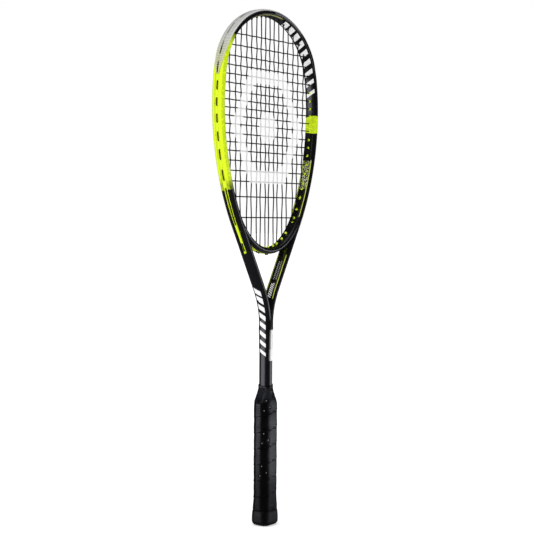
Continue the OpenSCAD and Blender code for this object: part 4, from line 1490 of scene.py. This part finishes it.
def make_butt(material):
    columns = 120
    rows = [(13, 0.8), (9.4, 0.8), (8.9, 0.5), (8.3, 0.05)]
    for a in np.radians(np.linspace(0, 90, 14)):
        rows.append((BUTT_EDGE * (1 - math.sin(a)), BUTT_EDGE * (1 - math.cos(a))))
    for z in np.linspace(BUTT_EDGE + 1, BUTT_RIM_Z - 0.7, 14):
        share = max(0.0, (z - BUTT_WIDEST_Z) / (BUTT_RIM_Z - BUTT_WIDEST_Z))
        rows.append((0.7 * share ** 1.4, z))
    rows += [(0.85, BUTT_RIM_Z - 0.1), (1.1, BUTT_RIM_Z), (3.4, BUTT_RIM_Z)]
    points = []
    for inset, z in rows:
        corner = max(BUTT_CORNER - inset * 0.8, 1.0)
        x, y, *_ = rounded_outline(BUTT_W - 2 * inset, BUTT_D - 2 * inset, corner, columns)
        points.append(np.stack([x, y, np.full(columns, z)], -1))
    shape = Shape()
    shape.add_grid(np.array(points))
    shape.make("butt_cap_shell", material, "butt_plastic", stands_for=["butt_cap"], sharp=45)


def make_tape(material):
    """Tape that binds the wrap's upper end, cut on a slant, over the last turn and onto the shaft."""
    columns = 96
    low = GRIP_TOP_Z
    rows = []
    for part, t in ((0, GRIP_END_T), (0.3, 0.55), (0.7, 0.5), (0.93, 0.4), (1, 0.25), (1, 0.03), (0, 0.03)):
        x, y, _, _, share = rounded_outline(2 * (SHAFT_HALF_X + t), 2 * (TUBE_HALF_Y + t), 5.2, columns)
        slant = 1.9 + 1.8 * np.cos(2 * math.pi * (share - 0.47))
        height = (TAPE_TOP_Z - low - slant) * part
        rows.append(np.stack([x, y, low + height], -1))
    rows.append(rows[0])
    shape = Shape()
    shape.add_grid(np.array(rows))
    shape.make("finishing_tape_turns", material, "tape", stands_for=["finishing_tape"], sharp=50,
               close=False)


# ---------------------------------------------------------------- studio

def make_floor():
    mesh = bpy.data.meshes.new("floor")
    side = 30.0
    mesh.from_pydata([(-side, -side, 0), (side, -side, 0), (side, side, 0), (-side, side, 0)], [],
                     [(0, 1, 2, 3)])
    floor = bpy.data.objects.new("floor", mesh)
    bpy.context.scene.collection.objects.link(floor)
    look = Look("pale_floor", Roughness=0.9, Base_Color=(0.93, 0.93, 0.93, 1), Specular_IOR_Level=0.1)
    look.shader.inputs["Emission Color"].default_value = (1, 1, 1, 1)
    look.shader.inputs["Emission Strength"].default_value = 0.35
    mesh.materials.append(look.material)
    floor.visible_glossy = False


def add_light(name, place_at, aim, size, power):
    data = bpy.data.lights.new(name, "AREA")
    data.shape = "RECTANGLE"
    data.size, data.size_y = size
    data.energy = power
    light = bpy.data.objects.new(name, data)
    light.location = place_at
    light.rotation_euler = (Vector(aim) - Vector(place_at)).to_track_quat("-Z", "Y").to_euler()
    bpy.context.scene.collection.objects.link(light)


# the studio as reflections see it: two tall soft panels left and right of the camera, lit from
# the floor up to eye level, with darkness between them
PANELS = ((141, 16, 2.2, 0.12), (-55, 27, 2.4, -0.02))  # azimuth, half width, strength and top
PANEL_LOW = -0.60               # sines of the elevations at which the panels start and brighten
PANEL_BRIGHT = (-0.205, -0.165)
PANEL_DIM = 0.07                # their share of strength below that
PANEL_TINT = (0.88, 0.91, 1.0)  # colour of the panels
GLOSS_FLOOR = 0.07              # strength of the floor in reflections
GLOSS_DARK = 0.012


def make_world():
    """White behind the racket, soft in diffuse light, and mostly dark in reflections."""
    world = bpy.data.worlds.new("studio")
    world.use_nodes = True
    bpy.context.scene.world = world
    look = Look.of_tree(world.node_tree, "Background")
    way = look.node("ShaderNodeTexCoord").outputs["Generated"]
    parts = look.node("ShaderNodeSeparateXYZ")
    look.put(parts.inputs[0], way)
    x, y, z = parts.outputs
    azimuth = look.math("ARCTAN2", y, x)
    full = look.math("MULTIPLY_ADD", look.step(z, *PANEL_BRIGHT), 1 - PANEL_DIM, PANEL_DIM)
    rise = look.both(look.step(z, PANEL_LOW, -0.25), full)
    glow = look.math("MULTIPLY", look.step(z, 0.0, -0.5), GLOSS_FLOOR)
    glow = look.math("ADD", glow, GLOSS_DARK)
    for centre, half, strength, top in PANELS:
        turn = look.math("SUBTRACT", azimuth, math.radians(centre))
        off = look.math("ABSOLUTE", look.math("WRAP", turn, math.pi, -math.pi))
        panel = look.step(off, math.radians(half) * 1.6, math.radians(half) * 0.3)
        glow = look.math("ADD", glow, look.math("MULTIPLY", look.both(
            panel, rise, look.step(z, top, top - 0.07)), strength))
    soft = look.math("MULTIPLY_ADD", x, -0.34, look.math("MULTIPLY_ADD", z, 0.12, 0.86))
    path = look.node("ShaderNodeLightPath").outputs
    strength = look.math("ADD", path["Is Camera Ray"],
                         look.math("MULTIPLY", path["Is Diffuse Ray"], soft))
    strength = look.math("ADD", strength, look.math("MULTIPLY", path["Is Glossy Ray"], glow))
    look.set("Strength", strength)
    look.set("Color", look.mix(path["Is Glossy Ray"], (1.0, 1.0, 1.0), PANEL_TINT))


def make_studio():
    make_world()
    make_floor()
    add_light("left_panel", (-2.2, 0.3, 2.4), (0, 0, 0.35), (1.6, 1.6), 5)
    add_light("top_panel", (0.3, -0.4, 3.0), (0, 0, 0.4), (1.8, 1.8), 3)
    scene = bpy.context.scene
    scene.view_settings.view_transform = "Standard"
    scene.view_settings.look = "None"


# ---------------------------------------------------------------- racket

def dress(node, material):
    """Gives a CAD node a better material."""
    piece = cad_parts[node]
    piece.data.materials.clear()
    piece.data.materials.append(material)


def make_racket():
    lacquer = frame_paint()
    make_head_frame(lacquer)
    make_leg("left_leg", "left_throat_leg", -1, lacquer)
    make_leg("right_leg", "right_throat_leg", 1, lacquer)
    make_shaft(lacquer)
    make_bridge(bridge_paint())
    make_guard(guard_nylon(), barrel_nylon())
    nylon = strip_nylon()
    make_side_strip("left_strip", "left_grommet_strip", -1, nylon)
    make_side_strip("right_strip", "right_grommet_strip", 1, nylon)
    make_throat_strip(nylon)
    string_mesh("main_strings", main_route(), "main_string", string_look("main_string_yarn"))
    string_mesh("cross_strings", cross_route(), "cross_string", string_look("cross_string_yarn"))
    make_knots(string_look("knot_yarn"))
    make_grip(grip_leather())
    make_butt(textured_plastic("butt_plastic", (0.0006, 0.0006, 0.0007), (0.0014, 0.0014, 0.0017),
                               2.2, 0.34))
    make_tape(textured_plastic("tape_vinyl", (0.001, 0.001, 0.001), (0.002, 0.002, 0.0024), 1.2, 0.25))
    dress("shaft_foam_cores", foam_look("core_foam", (0.62, 0.56, 0.38), (0.80, 0.75, 0.58), 0.9))
    dress("balance_weight", putty_look())
    pallet = foam_look("pallet_foam", (0.05, 0.05, 0.052), (0.10, 0.10, 0.105), 0.7)
    make_pallet("front_pallet", "front_handle_pallet", pallet)
    make_pallet("back_pallet", "back_handle_pallet", pallet)
    dress("butt_cap_tacks", zinc_look())


make_camera()
make_studio()
make_racket()

bpy.context.view_layer.update()
